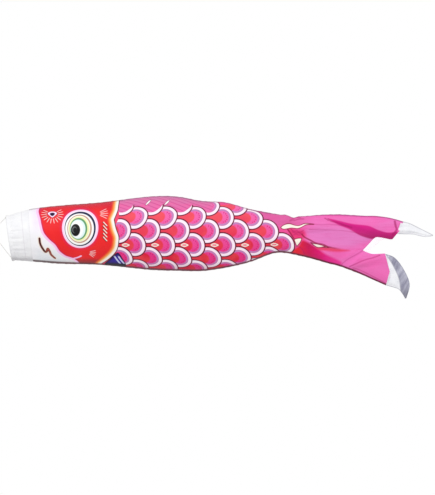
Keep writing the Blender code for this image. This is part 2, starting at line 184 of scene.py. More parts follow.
# %% Graphs
class Graph:
    """The nodes of a material or of the world."""

    def __init__(self, tree):
        self.tree = tree

    def node(self, kind, settings=(), sockets=()):
        """A node of a kind, with its settings made first and its sockets then set or linked."""
        made = self.tree.nodes.new("ShaderNode" + kind)
        for name, value in dict(settings).items():
            setattr(made, name, value)
        for name, value in dict(sockets).items():
            self.put(made.inputs[name], value)
        return made

    def put(self, socket, value):
        """Links a field or another node's output to a socket, or sets a plain value on it."""
        if isinstance(value, Field):
            value = value.socket
        if isinstance(value, bpy.types.NodeSocket):
            self.tree.links.new(value, socket)
        else:
            socket.default_value = value

    def field(self, node, output=0):
        return Field(self, node.outputs[output])

    def math(self, operation, *values):
        """A Math node, whose values are fields or numbers."""
        settings = {"operation": operation}
        return self.field(self.node("Math", settings, dict(enumerate(values))))

    def clamped(self, value):
        """The value, held between 0 and 1."""
        settings = {"operation": "ADD", "use_clamp": True}
        return self.field(self.node("Math", settings, {0: value, 1: 0.0}))

    def mix(self, share, first, second):
        """The first colour where share is 0, and the second where it is 1."""
        node = self.node("Mix", {"data_type": "RGBA"}, {0: share, 6: first, 7: second})
        return node.outputs[2]

    def mottle(self, tone, gain, start, first, second):
        """Blotches of the second colour over the first, where a noise is high."""
        return self.mix(self.clamped(tone * gain - start), first, second)

    def printed_map(self, name):
        """The two coordinates of a UV map, in millimetres."""
        place = self.node("UVMap", {"uv_map": name})
        parts = self.node("SeparateXYZ", (), {0: place.outputs[0]})
        return self.field(parts, 0) * 1000.0, self.field(parts, 1) * 1000.0

    def stored(self, name):
        """A number kept at each point of the cloth."""
        return self.field(self.node("Attribute", {"attribute_name": name}), 2)

    def noise(self, vector, scale, detail=2.0):
        sockets = {"Vector": vector, "Scale": scale, "Detail": detail}
        return self.field(self.node("TexNoise", (), sockets))

    def vector(self, x, y, z=0.0):
        return self.node("CombineXYZ", (), {0: x, 1: y, 2: z}).outputs[0]


print("a graph's own methods:", sum(callable(value) for value in vars(Graph).values()))


# %% Finishes
class Finish(Graph):
    """A material, with one principled shader at its end."""

    def __init__(self, name):
        self.material = bpy.data.materials.new(name)
        self.material.use_nodes = True
        super().__init__(self.material.node_tree)
        self.shader = self.tree.nodes["Principled BSDF"]

    def finish_with(self, colour, roughness, height=None, depth=0.1 * MM, strength=1.0, **fixed):
        """Joins up the shader: what varies is linked, and fixed values go on its own sockets."""
        self.put(self.shader.inputs["Base Color"], colour)
        self.put(self.shader.inputs["Roughness"], roughness)
        for name, value in fixed.items():
            self.shader.inputs[name.replace("_", " ")].default_value = value
        if height is not None:
            sockets = {"Height": height, "Distance": depth, "Strength": strength}
            self.put(self.shader.inputs["Normal"], self.node("Bump", (), sockets).outputs[0])
        return self.material


# %% [markdown]
# ## The bridle's cords
#
# Two legs of white twisted polyester cord run from the knot on the bridle ring to the top and the bottom
# of the hoop. The pull of the wind keeps them taut. Each leg is a tube that is swept along its route,
# with a section of three round strands that turns as it goes, which gives the lay of real cord.
# %% Twisted cord
CORD_SIZE = 1.2 * MM
LAY = 4.6 * MM  # how far the cord runs for one turn of its strands
STRANDS = 3
AROUND = 18  # points round the tube


def cord_finish():
    """White polyester, with the fine lines of its fibres running round each strand."""
    finish = Finish("twisted_cord")
    along, round_it = finish.printed_map("Print")
    fibre = ((round_it * 9.0 + along * 3.0) * 2.2).do("SINE")
    tone = finish.noise(finish.node("TexCoord").outputs["Object"], 700.0, 3.0)
    shade = finish.mottle(tone, 1.5, 0.2, linear(214, 212, 206), linear(250, 249, 246))
    return finish.finish_with(shade, tone * 0.2 + 0.55, fibre, 0.03 * MM, 0.6, Sheen_Weight=0.25)


CORD_FINISH = cord_finish()


def running_length(line):
    """How far along a line of points each point lies."""
    return np.concatenate([[0], np.cumsum(np.linalg.norm(np.diff(line, axis=0), axis=1))])


def strand_rings(route):
    """The tube's rings of points, which turn with the lay, and each ring's place on the map."""
    run = np.gradient(route, axis=0)
    run /= np.linalg.norm(run, axis=1, keepdims=True)
    turn = np.linspace(0, 2 * math.pi, AROUND, endpoint=False)
    side = np.cross(run[0], (0.3, 0.9, 0.2))
    rings, prints = [], []
    for place, ahead, length in zip(route, run, running_length(route)):
        side -= ahead * (side @ ahead)
        side /= np.linalg.norm(side)
        across = np.cross(ahead, side)
        ridge = np.abs(np.cos((turn - 2 * math.pi * length / LAY) * STRANDS / 2))
        radius = (CORD_SIZE / 2 * (0.90 + 0.13 * ridge**0.8))[:, None]
        rings.append(place + radius * (np.cos(turn)[:, None] * side + np.sin(turn)[:, None] * across))
        prints.append(np.stack([np.full(AROUND, length), turn * CORD_SIZE / 2], axis=-1))
    return np.concatenate(rings), prints


def twisted_cord(name, route):
    """A closed tube of twisted strands along a route of points in metres."""
    points, prints = strand_rings(route)
    last = len(route) - 1
    faces, maps = [], []
    for i in range(last):
        near, next_ring = i * AROUND, (i + 1) * AROUND
        for j in range(AROUND):
            m = (j + 1) % AROUND
            faces.append((near + j, near + m, next_ring + m, next_ring + j))
            low, high = prints[i][j], prints[i][j] + (0, math.pi * CORD_SIZE / AROUND)
            far = low[0] + LAY / 20
            maps += [low, high, (far, high[1]), (far, low[1])]
    faces += [tuple(range(AROUND))[::-1], tuple(last * AROUND + j for j in range(AROUND))]
    maps += [(0, 0)] * (2 * AROUND)
    mesh = bpy.data.meshes.new(name)
    mesh.from_pydata(points.tolist(), [], faces)
    layer = mesh.uv_layers.new(name="Print")
    layer.data.foreach_set("uv", np.array(maps, np.float32).ravel())
    mesh.materials.append(CORD_FINISH)
    mesh.shade_smooth()
    return placed(name, mesh)


print(STRANDS, "strands, which turn once in", round(1000 * LAY, 1), "mm")


# %% The two legs
def leg_route(start, end):
    """A taut leg's route, which bows forward by a millimetre under its own slack."""
    share = np.linspace(0, 1, 160)[:, None]
    bow = np.array((-1.0 * MM, 0, 0)) * 4 * share * (1 - share)
    return np.array(start) * (1 - share) + np.array(end) * share + bow


for word, place in (("upper", 1), ("lower", -1)):
    low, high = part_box(f"{word}_bridle_cord")
    start = apex + Vector((1.5 * MM, 0, place * 1.5 * MM))
    reach_z = high.z - 0.3 * MM if place > 0 else low.z + 0.3 * MM
    end = Vector((high.x - 0.4 * MM, 0, reach_z))
    route = leg_route(start, end)
    piece = twisted_cord(f"{word}_bridle_leg", route)
    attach(piece, "bridle")
    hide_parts(f"{word}_bridle_cord")
    [tuple(p) for p in route[::8]] + [tuple(route[-1])]
# %% [markdown]
# ## The sleeve's shape
#
# Filled with wind, the sleeve is an oval tube whose size changes from the mouth to the tail. The
# stations below are the packed model's own, and a smooth curve runs through them. The cloth is finer
# than the packed solids, and carries the small folds that wind and sewing leave in polyester: long soft
# ones that run towards the narrow tail, puckers beside the seams, and creases where the hoop gathers the
# mouth. They are written as functions of place, and not simulated, so that neighbouring pieces of cloth
# always meet, and so that the print stays where it belongs.
# %% The sleeve's sections
# distance behind the mouth, then the middle's height, half height and half width there, in mm
STATIONS = np.array(
    (
        (0, 0, 51.5, 51.5),
        (50, 6, 61, 55),
        (115, 8, 68, 58.5),
        (210, 10.5, 73, 61),
        (330, 11.5, 86, 61),
        (390, 10.5, 87, 59),
        (450, 5, 82, 55),
        (505, 7, 76.5, 51),
        (562, 6, 62, 43),
        (621, 11, 46, 34),
        (660, 6.5, 44, 28),
        (745, -2, 57.5, 21),
        (818, -16.5, 71.5, 15),
    ),
    float,
)
HOOP_LEAN = math.radians(8)
HOOP_RADIUS = 51.5  # mm, to the middle of its wire
TAIL_FRONT = 818  # where the sections end and the two lobes go on alone


def eased(value, start, end):
    """0 before start, 1 after end, and a smooth rise between."""
    share = np.clip((value - start) / (end - start), 0, 1)
    return share * share * (3 - 2 * share)


def section(u):
    """The sleeve's middle height, half height and half width at distances behind the mouth."""
    u = np.asarray(u, float)
    i = np.clip(np.searchsorted(STATIONS[:, 0], u, side="left") - 1, 0, len(STATIONS) - 2)
    low, high = STATIONS[i], STATIONS[i + 1]
    before, after = STATIONS[np.maximum(i - 1, 0)], STATIONS[np.minimum(i + 2, len(STATIONS) - 1)]
    step = high[..., 0] - low[..., 0]
    f = (u - low[..., 0]) / step
    values = []
    for k in (1, 2, 3):
        start = (high[..., k] - before[..., k]) / (high[..., 0] - before[..., 0]) * step
        end = (after[..., k] - low[..., k]) / (after[..., 0] - low[..., 0]) * step
        values.append(
            low[..., k] * (2 * f**3 - 3 * f**2 + 1)
            + start * (f**3 - 2 * f**2 + f)
            + high[..., k] * (3 * f**2 - 2 * f**3)
            + end * (f**3 - f**2)
        )
    return values


def unrolled(u, h):
    """How far round the cloth a height lies: the middle's height, and the arc from there."""
    middle, tall, wide = section(u)
    angle = np.arcsin(np.clip((h - middle) / tall, -1, 1))
    return middle + arc_length(tall, wide, angle)


def arc_length(tall, wide, angle):
    """The length of an oval's outline from its widest place, up to an angle."""
    steps = np.linspace(0, 1, 25)
    turn = np.asarray(angle)[..., None] * steps
    tall, wide = np.asarray(tall)[..., None], np.asarray(wide)[..., None]
    speed = np.sqrt((tall * np.cos(turn)) ** 2 + (wide * np.sin(turn)) ** 2)
    return np.trapz(speed, steps, axis=-1) * angle


print("half way round the head:", round(float(2 * arc_length(73, 61, math.pi / 2))), "mm")
# %% [markdown]
# ## Folds in the cloth
#
# A fold is a soft ridge or hollow along a line on the side of the fish. Its depth fades towards both
# ends. A whole family of faint ones is made from sums of sines that are stretched along the sleeve,
# with different steps on the two sides, so that the far side isn't a copy of the near one.
# %% Fold depths
# start u, start h, end u, end h, half width, depth outwards, in mm
FOLDS = (
    (596, 52, 700, 40, 7, 2.2),
    (618, 36, 716, 26, 5, -2.4),
    (640, 24, 742, 30, 6, 2.4),
    (648, 8, 760, 14, 6, -2.0),
    (650, -4, 735, -8, 7, 2.6),
    (668, -22, 760, -30, 8, -2.0),
    (684, -6, 800, -26, 6, 2.2),
    (744, 44, 846, 22, 6, 2.6),
    (748, 34, 850, 8, 6, -2.2),
    (770, -56, 850, -8, 6, 1.8),
    (786, -62, 852, -18, 5, -1.6),
    (796, -68, 880, -42, 5, 2.2),
    (800, -76, 868, -62, 5, -1.6),
    (560, 58, 640, 40, 6, -1.6),
    (572, -40, 650, -18, 7, 1.6),
    (30, 40, 96, 44, 6, 1.0),
    (24, -28, 84, -36, 6, -1.0),
    (240, -44, 330, -58, 8, 1.0),
    (236, 66, 330, 84, 8, -1.2),
    (420, 70, 520, 64, 8, 1.0),
    (452, -58, 548, -50, 8, -1.2),
)


def fold_depth(u, h):
    """How far the named folds lift the cloth, in mm."""
    lift = np.zeros_like(u)
    for u0, h0, u1, h1, half_width, depth in FOLDS:
        run_u, run_h = u1 - u0, h1 - h0
        length = math.hypot(run_u, run_h)
        along = ((u - u0) * run_u + (h - h0) * run_h) / length
        off = ((h - h0) * run_u - (u - u0) * run_h) / length
        fade = eased(along, -0.1 * length, 0.35 * length) * eased(along, 1.1 * length, 0.6 * length)
        lift += depth * fade * np.exp(-((off / half_width) ** 2))
    return lift


print(len(FOLDS), "named folds, up to", max(abs(fold[-1]) for fold in FOLDS), "mm deep")


# %% Ripples, puckers and creases


def ripple(u, round_place, side):
    """The faint undulation of a filled sleeve, and its seam puckers, in mm."""
    phase = 0.0 if side < 0 else 1.7
    slow = np.sin(u / 47 + round_place / 23 + phase) * np.sin(round_place / 19 - u / 210 + phase)
    quick = np.sin(round_place / 9.5 + u / 88 + 2.1 * phase) * np.sin(u / 31 - round_place / 40)
    narrow = eased(u, 520, 660)
    return slow * (0.7 + 0.8 * narrow) + quick * (0.25 + 0.55 * narrow)


def pucker(u, from_seam):
    """Small gathers beside a sewn seam, which die out a centimetre from it."""
    waves = np.sin(u / 2.9) + 0.6 * np.sin(u / 1.73 + 1.0) + 0.5 * np.sin(u / 7.1)
    return 0.22 * waves * np.exp(-((from_seam / 6.0) ** 2))


def mouth_creases(u, angle, side):
    """Creases that fan back from the hoop, where the hem gathers the cloth."""
    phase = 0.0 if side < 0 else 2.2
    turn = np.radians(angle)
    waves = np.sin(23 * turn + phase) + 0.8 * np.sin(37 * turn + 1.3 * phase + u / 14)
    waves += 0.6 * np.sin(61 * turn + u / 9)
    fade = eased(u, 1, 7) * eased(u, 46, 12)
    return 0.55 * waves * fade


# %% A place on the sleeve
def seam_gap(turn, tall, wide):
    """How far round the cloth it is to the nearest seam, in mm."""
    return (1 - np.abs(turn) / (math.pi / 2)) * (tall + wide) * 0.78


def sleeve_place(u, angle, side):
    """Points of the sleeve's outer face, in metres: angle 90 is the back and -90 the belly."""
    middle, tall, wide = section(u)
    turn = np.radians(angle)
    height = middle + tall * np.sin(turn)
    from_seam = seam_gap(turn, tall, wide)
    out_y, out_h = np.cos(turn) / wide, np.sin(turn) / tall
    out = np.hypot(out_y, out_h)
    lift = fold_depth(u, height) + ripple(u, height * 1.1, side)
    lift += mouth_creases(u, angle, side)
    lift *= eased(from_seam, 0, 14)
    back = eased(height - middle, 0.3 * tall, tall)
    lift += back * (2.6 * np.exp(-(((u - 646) / 9) ** 2)) - 2.8 * np.exp(-(((u - 664) / 7) ** 2)))
    lift += pucker(u, from_seam)
    lean = math.tan(HOOP_LEAN) * np.maximum(0, 1 - u / 120) * height
    y = np.maximum(wide * np.cos(turn) + lift * out_y / out, 0.0) + 0.2
    h = height + lift * out_h / out
    return np.stack([mouth.x + (u - lean) * MM, side * y * MM, mouth.z + h * MM], axis=-1)


# %% [markdown]
# ## Printed shapes
#
# The fish is printed flat, and the two sides are sewn together afterwards, so its drawing belongs to the
# cloth. Each outline is given in the side view, unrolled on to the cloth, and every point of the cloth
# keeps its distance from it. A material then paints sharp edges and outlines of any width from that
# distance, however coarse the mesh is.
# %% Distances from outlines
def smooth_line(points, closed=False, steps=6):
    """A smooth line through these points."""
    points = np.array(points, float)
    count = len(points)
    spans = count if closed else count - 1
    line = []
    for i in range(spans):
        if closed:
            a, b, c, d = (points[(i + k) % count] for k in (-1, 0, 1, 2))
        else:
            a, b = points[max(i - 1, 0)], points[i]
            c, d = points[i + 1], points[min(i + 2, count - 1)]
        for f in np.arange(steps) / steps:
            line.append(
                0.5 * (2 * b + (c - a) * f + (2 * a - 5 * b + 4 * c - d) * f**2)
                + 0.5 * (3 * b - a - 3 * c + d) * f**3
            )
    if not closed:
        line.append(points[-1])
    return np.array(line)


def on_cloth(line):
    """A line of the side view, unrolled on to the cloth."""
    line = np.asarray(line, float)
    return np.stack([line[:, 0], unrolled(line[:, 0], line[:, 1])], axis=-1)


REACH = 20.0  # mm; a print never needs a distance beyond this


def distance_to(points, line, closed=False):
    """Each point's distance from a line, up to the reach; inside a closed line it is negative."""
    beyond = (points < line.min(axis=0) - REACH) | (points > line.max(axis=0) + REACH)
    close = ~beyond.any(axis=1)
    far = np.full(len(points), REACH)
    far[close] = near_distance(points[close], line, closed)
    return far


def near_distance(points, line, closed):
    """The distance to the nearest span of a line; a ray's crossings tell inside from outside."""
    ends = np.roll(line, -1, axis=0) if closed else line[1:]
    starts = line if closed else line[:-1]
    nearest = np.full(len(points), 1e9)
    inside = np.zeros(len(points), bool)
    for a, b in zip(starts, ends):
        run = b - a
        share = np.clip((points - a) @ run / max(run @ run, 1e-9), 0, 1)
        gap = points - a - share[:, None] * run
        nearest = np.minimum(nearest, np.hypot(gap[:, 0], gap[:, 1]))
        if closed and a[1] != b[1]:
            crosses = (a[1] > points[:, 1]) != (b[1] > points[:, 1])
            at_u = a[0] + (points[:, 1] - a[1]) / (b[1] - a[1]) * run[0]
            inside ^= crosses & (points[:, 0] < at_u)
    return np.where(inside, -nearest, nearest)


# %% The drawing's outlines
FACE_FRONT = (
    (67.9, 69.3), (65.8, 60.9), (69.3, 44), (71.4, 30), (76.3, 10.3), (89, -6.6), (103, -19.2),
    (112.9, -33.3), (128.3, -44.5), (143.8, -49.2), (153, -54), (160, -60),
)
GILL_EDGE = (
    (257, 84), (256, 76.4), (253.9, 62.3), (246.1, 42.6), (250.4, 23), (256.7, 4.7), (256.7, -9.4),
    (253.2, -26.2), (243.3, -40.3), (229.3, -51.5), (214, -60),
)
WHISKER = (
    (70.7, -0.9), (72.1, -15), (80.6, -30.4), (85.5, -31.9), (89, -24.8), (93.2, -30.4),
    (96.7, -38.9), (105.9, -47.3),
)
SMILE = ((140, -48), (150, -47.5), (160, -45), (167.7, -41.7))
FIN = (
    (254.6, -34.7), (263, -45.9), (271.4, -61), (267, -66.7), (243, -64.5), (222, -60.6),
    (234.9, -48.7), (247.6, -37.5),
)
ABOVE, UNDER, AHEAD = 200.0, -200.0, -150.0  # past the back, the belly and the mouth, unrolled

front_line = on_cloth(smooth_line(FACE_FRONT))


def all_ahead_of(line, lean=0):
    """A closed outline of everything ahead of a line that runs from the back to the belly."""
    top = [[AHEAD, ABOVE], [line[0, 0] + lean, ABOVE]]
    return np.vstack([top, line, [[line[-1, 0], UNDER], [AHEAD, UNDER]]])


front_shape = all_ahead_of(front_line)
gill_line = on_cloth(np.vstack([smooth_line(GILL_EDGE[:4]), smooth_line(GILL_EDGE[3:])[1:]]))
gill_shape = all_ahead_of(gill_line, 6)
HEAD_SHAPES = {
    "front": ([front_shape], True),
    "gill": ([gill_shape], True),
    "whisker": ([on_cloth(smooth_line(WHISKER))], False),
    "smile": ([on_cloth(smooth_line(SMILE))], False),
    "fin": ([on_cloth(smooth_line(FIN, closed=True))], True),
}
print("outlines:", ", ".join(HEAD_SHAPES))
# %% [markdown]
# ## Making a piece of cloth
#
# Each side of each length of the sleeve is a grid of points, dense enough to fold softly. It gets two UV
# maps in metres: `Print` is the unrolled cloth, and `Side` is the side view. Solidify then gives the
# cloth its thickness, with its own material on the inner face, where a dye print looks paler and where
# painted light stands in for the light that shines through.
# %% The cloth maker
CLOTH = 0.35  # mm, the thickness of the cloth with its print and coating
quick_step = 1.0


def make_cloth(name, places, prints, sides, finishes, shapes=(), flip=False, edge=None):
    """A sheet from a grid of places, with its two maps, its print distances and its thickness."""
    rows, columns = places.shape[:2]
    index = np.arange(rows * columns).reshape(rows, columns)
    corners = [index[:-1, :-1], index[:-1, 1:], index[1:, 1:], index[1:, :-1]]
    if flip:
        corners.reverse()
    faces = np.stack([c.ravel() for c in corners], axis=-1)
    mesh = bpy.data.meshes.new(name)
    mesh.from_pydata(places.reshape(-1, 3).tolist(), [], faces.tolist())
    for word, values in (("Print", prints), ("Side", sides)):
        layer = mesh.uv_layers.new(name=word)
        flat = values.reshape(-1, 2)[faces.ravel()] * MM
        layer.data.foreach_set("uv", flat.astype(np.float32).ravel())
    kept = {} if edge is None else {"edge": np.asarray(edge).ravel()}
    for word, (lines, closed) in dict(shapes).items():
        points = (prints if word in HEAD_SHAPES else sides).reshape(-1, 2)
        kept[word] = np.min([distance_to(points, line, closed) for line in lines], axis=0)
    for word, values in kept.items():
        mesh.attributes.new(word, "FLOAT", "POINT").data.foreach_set("value", values.astype(np.float32))
    for finish in finishes:
        mesh.materials.append(finish)
    made = placed(name, mesh)
    mesh.shade_smooth()
    thicken = made.modifiers.new("Thickness", "SOLIDIFY")
    thicken.thickness = CLOTH * MM
    thicken.offset = -1.0
    thicken.use_even_offset = True
    thicken.material_offset = 1
    thicken.material_offset_rim = 0
    apply_modifier(made, "Thickness")
    mesh.set_sharp_from_angle(angle=math.radians(60))
    return made


def apply_modifier(made, name):
    """Makes a modifier's result the object's own mesh."""
    bpy.context.view_layer.objects.active = made
    made.select_set(True)
    bpy.ops.object.modifier_apply(modifier=name)
    made.select_set(False)


def flat_size(places):
    """How wide and long a grid's sheet was cut, from its longest row and its longest column."""
    across = np.linalg.norm(np.diff(places, axis=1), axis=-1).sum(axis=1)
    along = np.linalg.norm(np.diff(places, axis=0), axis=-1).sum(axis=0)
    return float(across.max()), float(along.max())


def grid_area(places):
    """The sheet's own area, by its quads' diagonals."""
    one = places[1:, 1:] - places[:-1, :-1]
    other = places[1:, :-1] - places[:-1, 1:]
    return float(np.linalg.norm(np.cross(one, other), axis=-1).sum() / 2)
# %% [markdown]
# ## The scales
#
# The body's scales are a lattice of circles. Each covers the one behind it, so a point belongs to the
# foremost circle that holds it. Two sets of rows, half a step apart, make the lattice, and each circle
# is a target of rings: a maroon line, a white rim, a lilac line, a pink field with a row of dots, and
# a coral fan at its front.
# %% The scale lattice
SCALE_STEP = 68.6
ROW_STEP = 33.0
SCALE_SIZE = 30.5
ROWS = ((459.0, 16.5), (494.0, -16.5))  # a circle's centre in each set of rows


def scale_rows(u, v, first_u, first_v):
    """For one set of rows: the circle's middle u, how far up from its row, and the row's height."""
    row = ((v - first_v) / (2 * ROW_STEP)).do("ROUND") * (2 * ROW_STEP) + first_v
    up = v - row
    reach = (SCALE_SIZE**2 - up * up).most(0.0).do("SQRT")
    middle = ((u - reach - first_u) / SCALE_STEP).do("CEIL") * SCALE_STEP + first_u
    missed = up.size().do("GREATER_THAN", SCALE_SIZE)
    return middle + missed * 1000.0, up, row


def scale_place(u, v):
    """Where a point lies in its scale: along and up from the middle, with the middle's own place."""
    near, near_up, near_row = scale_rows(u, v, *ROWS[0])
    far, far_up, far_row = scale_rows(u, v, *ROWS[1])
    pick = near.do("GREATER_THAN", far)
    middle = near.least(far)
    up = pick.choose(near_up, far_up)
    row = pick.choose(near_row, far_row)
    return u - middle, up, middle, row


print("scales every", SCALE_STEP, "mm along and", 2 * ROW_STEP, "mm round the cloth")


# %% The scales' colours
MAROON = linear(104, 16, 48)


def scale_colour(finish, u, v):
    """The scales' colour, and a mask that is 0 behind the last scale."""
    bent = ((v / 50) * (v / 50) * 4.8).least(7.0) + 1.2
    toward_tail = finish.clamped((u - 440) / 100)
    along, up, middle, row = scale_place(u - toward_tail.choose(bent, 4.6 - v * 0.075), v)
    r = (along * along + up * up).do("SQRT")
    # Paler towards the back: partly a change in the print, and partly painted light falling from above.
    paler = finish.clamped((v + 45) / 125)
    field = finish.mix(paler, linear(236, 34, 122), linear(246, 112, 178))
    tone = finish.noise(finish.vector(u / 34, v / 34), 1.0, 3.0)
    field = finish.mottle(tone, 0.5, 0.1, field, linear(238, 92, 190))
    fan = finish.mix(paler, linear(222, 14, 54), linear(240, 72, 104))
    fan = finish.mottle(tone, 1.3, 0.45, fan, linear(250, 96, 92))
    past = along + 13
    fan_edge = (past * past + up * up).do("SQRT")
    ahead = fan_edge.below(13.8, 2.5).most(along.below(-13.0, 2.5))
    colour = finish.mix(ahead, field, fan)
    turn = up.do("ARCTAN2", along)  # spokes and dots go by the angle round the scale's middle
    spokes = (turn * 11.0).do("SINE").above(0.90, 0.2) * r.between(7, 16.5, 1.0)
    colour = finish.mix(spokes * (1 - ahead) * 0.35, colour, linear(190, 20, 110))
    step = (turn / 0.42).do("ROUND")
    dot_round = (turn - step * 0.42) * 12.2
    dot = ((r - 12.2) * (r - 12.2) + dot_round * dot_round).do("SQRT").below(1.25, 0.5)
    dot = dot * step.size().below(3.5, 0.1)
    colour = finish.mix(dot, colour, linear(196, 10, 120))
    rim = along.above(-9.0, 1.0)
    colour = finish.mix(rim * r.between(16.3, 20.4, 0.8), colour, linear(190, 132, 190))
    colour = finish.mix(rim * r.between(19.8, 21.2, 0.8), colour, linear(200, 90, 156))
    colour = finish.mix(rim * r.between(21.0, 27.7, 0.9), colour, linear(254, 238, 250))
    colour = finish.mix(rim * r.above(27.7, 0.8), colour, MAROON)
    colour = finish.mix(middle.below(240.0, 1.0), colour, linear(240, 66, 104))
    colour = drop_colour(finish, colour, along, up, row)
    # Painted shade: the lowest rows darken towards the belly.
    colour = finish.mix(finish.clamped((-58 - v) / 40) * 0.5, colour, linear(150, 0, 60))
    outside = (r - (up + 14).most(0.0) * 0.5).above(20.6, 0.8) * up.below(2.0, 1.0)
    high = row.above(70.0, 1.0) * u.below(474.0, 8.0) * (1 - outside * rim * row.below(90.0, 1.0))
    colour = finish.mix(high, colour, back_colour(finish, u, v))
    last = 648 - (row + 16.5).most(0.0) * 1.2
    return colour, (middle - last).below(0.0, 0.5)


def drop_colour(finish, colour, along, up, row):
    """The small drop with a cream edge, between the scales of one row."""
    share = finish.clamped((along + 27) / 18)
    width = (share * 3.1).do("SINE") * 3.6 * (1.25 - share * 0.5)
    off = up.size() - width
    here = (row + 16.5).size().below(1.0, 0.5) * along.between(-27, -9, 0.5)
    colour = finish.mix(here * off.below(1.6, 0.6), colour, linear(150, 20, 50))
    colour = finish.mix(here * off.below(0.9, 0.6), colour, linear(255, 240, 225))
    colour = finish.mix(here * off.below(-1.4, 0.6), colour, linear(246, 130, 150))
    core = ((along + 16) * (along + 16) + up * up).do("SQRT").below(0.9, 0.5)
    return finish.mix(here * core, colour, linear(190, 20, 60))


# %% [markdown]
# ## The face
#
# The face is red with a crimson edge and a pink outline in front, and a white chin. The big eye is a
# nest of ovals. Unrolling the cloth stretches what lies towards the back, so each oval's middle and
# height are worked out on the cloth from where its top and bottom show in the side view.
# %% Ovals and strokes of the face
def oval(u, v, place, size):
    """The share of an oval's own size at which a point lies, so 1 is its edge."""
    ends = unrolled(np.full(2, place[0]), np.array((place[1] - size[1], place[1] + size[1])))
    middle, half = float(ends.mean()), float(np.ptp(ends) / 2)
    along, up = (u - place[0]) / size[0], (v - middle) / half
    return (along * along + up * up).do("SQRT") * size[0]


# %% The eye and the rays
EYE_RINGS = (  # middle, half width and half height in the side view, and the colour inside
    ((165.8, 21.5), (42.4, 44.9), linear(252, 214, 246)),
    ((165.8, 21.5), (38.4, 42.0), linear(255, 246, 255)),
    ((165.8, 21.5), (36.4, 40.3), linear(28, 34, 76)),
    ((164.4, 20.6), (33.4, 36.8), linear(252, 252, 250)),
    ((164.4, 21.6), (28.6, 33.2), linear(196, 152, 128)),
    ((163.4, 21.8), (25.8, 30.6), linear(250, 250, 236)),
    ((163.0, 21.4), (23.8, 28.8), linear(243, 244, 180)),
    ((162.0, 21.6), (20.4, 25.8), linear(96, 158, 108)),
    ((160.6, 20.8), (17.6, 22.6), linear(226, 246, 246)),
    ((158.6, 20.4), (14.2, 20.2), linear(252, 254, 254)),
    ((155.0, 18.7), (10.9, 14.4), linear(8, 8, 12)),
    ((152.6, 19.4), (5.4, 7.8), linear(104, 110, 110)),
    ((153.7, 18.3), (4.4, 6.6), linear(14, 14, 18)),
)


def fan(u, v, place, size, count, first, last, half_width=0.8, shift=0.0):
    """Rays between two radii round a point, from one angle to another in degrees."""
    start_v = float(unrolled(np.array([place[0]]), np.array([place[1]]))[0])
    along, up = u - place[0], v - start_v
    r = (along * along + up * up).do("SQRT")
    turn = up.do("ARCTAN2", along) * (180 / math.pi)
    step = (last - first) / max(count - 1, 1)
    nearest = ((turn - first) / step - shift).do("ROUND").most(0.0).least(count - 1.0) + shift
    off = ((turn - first - nearest * step) * (math.pi / 180)).size() * r
    taper = r.above(size[0], 3.0) * r.below(size[1], 3.0)
    return off.below(half_width, 0.8) * taper


print(len(EYE_RINGS), "ovals in the eye")


# %% The face's colours
def face_colour(finish, u, v):
    """Everything printed ahead of the gill edge."""
    tone = finish.noise(finish.vector(u / 60, v / 60), 1.0, 2.0)
    red = finish.mottle(tone, 1.6, 0.4, linear(232, 22, 34), linear(247, 42, 40))
    front, gill = finish.stored("front"), finish.stored("gill")
    magenta = (v - u * 0.6).above(34, 40) * front.below(12, 8) * v.above(50, 20)
    red = finish.mix(magenta * 0.8, red, linear(228, 30, 120))
    red = finish.mix(front.below(8.2, 2.0), red, linear(206, 20, 84))
    back = v.above(78, 26)
    red = finish.mix(back * 0.5, red, linear(176, 24, 66))
    halo = oval(u, v, (165.8, 21.5), (46.0, 48.5))
    red = finish.mix(halo.below(46.0, 7.0) * 0.5, red, linear(214, 34, 110))
    # Painted shade: darker and browner along the underside, from the eye back to the gill.
    belly = finish.clamped((-52 - v) / 12) * u.between(136, 232, 14)
    red = finish.mix(belly * 0.85, red, linear(150, 40, 44))
    for place, size, colour in EYE_RINGS:
        red = finish.mix(oval(u, v, place, size).below(size[0], 0.7), red, colour)
    red = marks_colour(finish, u, v, red)
    cloth = finish.mix(front.above(0.3, 0.8), chin_colour(finish, u, v), linear(255, 202, 242))
    cloth = finish.mix(front.above(5.6, 1.2), cloth, red)
    smile = finish.stored("smile").below(2.1, 0.8) * v.above(-62, 4)
    cloth = finish.mix(smile, cloth, linear(255, 202, 242))
    cloth = gill_colours(finish, gill, cloth)
    # A dark band along the outline: partly the printed outline, and partly painted shade, wider and
    # darker under the belly.
    dark = finish.mix(finish.clamped((u - 70) / 70), linear(84, 62, 66), linear(84, 16, 28))
    under = v.below(0.0, 1.0)
    near = (finish.stored("edge") - under * 2.4).below(2.2, 2.2)
    return finish.mix(near * (under * 0.45 + 0.5), cloth, dark)


def chin_colour(finish, u, v):
    """The white mouth and chin, tinted by the dye that has crept into it, with its brown whisker and
    painted shade under the chin.
    """
    tone = finish.noise(finish.vector(u / 22, v / 22), 1.0, 2.0)
    white = finish.mottle(tone, 1.2, 0.3, linear(244, 243, 248), linear(252, 250, 252))
    pinker = u.between(58, 74, 12) * v.above(20, 30)
    white = finish.mix(pinker * 0.5, white, linear(238, 220, 246))
    bluer = finish.clamped((-v - 10) / 60) * u.between(60, 130, 20)
    white = finish.mix(bluer * 0.35, white, linear(214, 232, 240))
    # Painted shade: greyer under the chin.
    under = finish.clamped((-56 - v) / 24)
    white = finish.mix(under * 0.6, white, linear(160, 140, 140))
    gap = finish.stored("whisker")
    white = finish.mix(gap.below(4.6, 2.4) * 0.6, white, linear(252, 226, 200))
    white = finish.mix(gap.below(2.6, 0.6), white, linear(84, 30, 26))
    return finish.mix(gap.below(1.4, 0.9) * u.above(84, 4), white, linear(170, 78, 66))


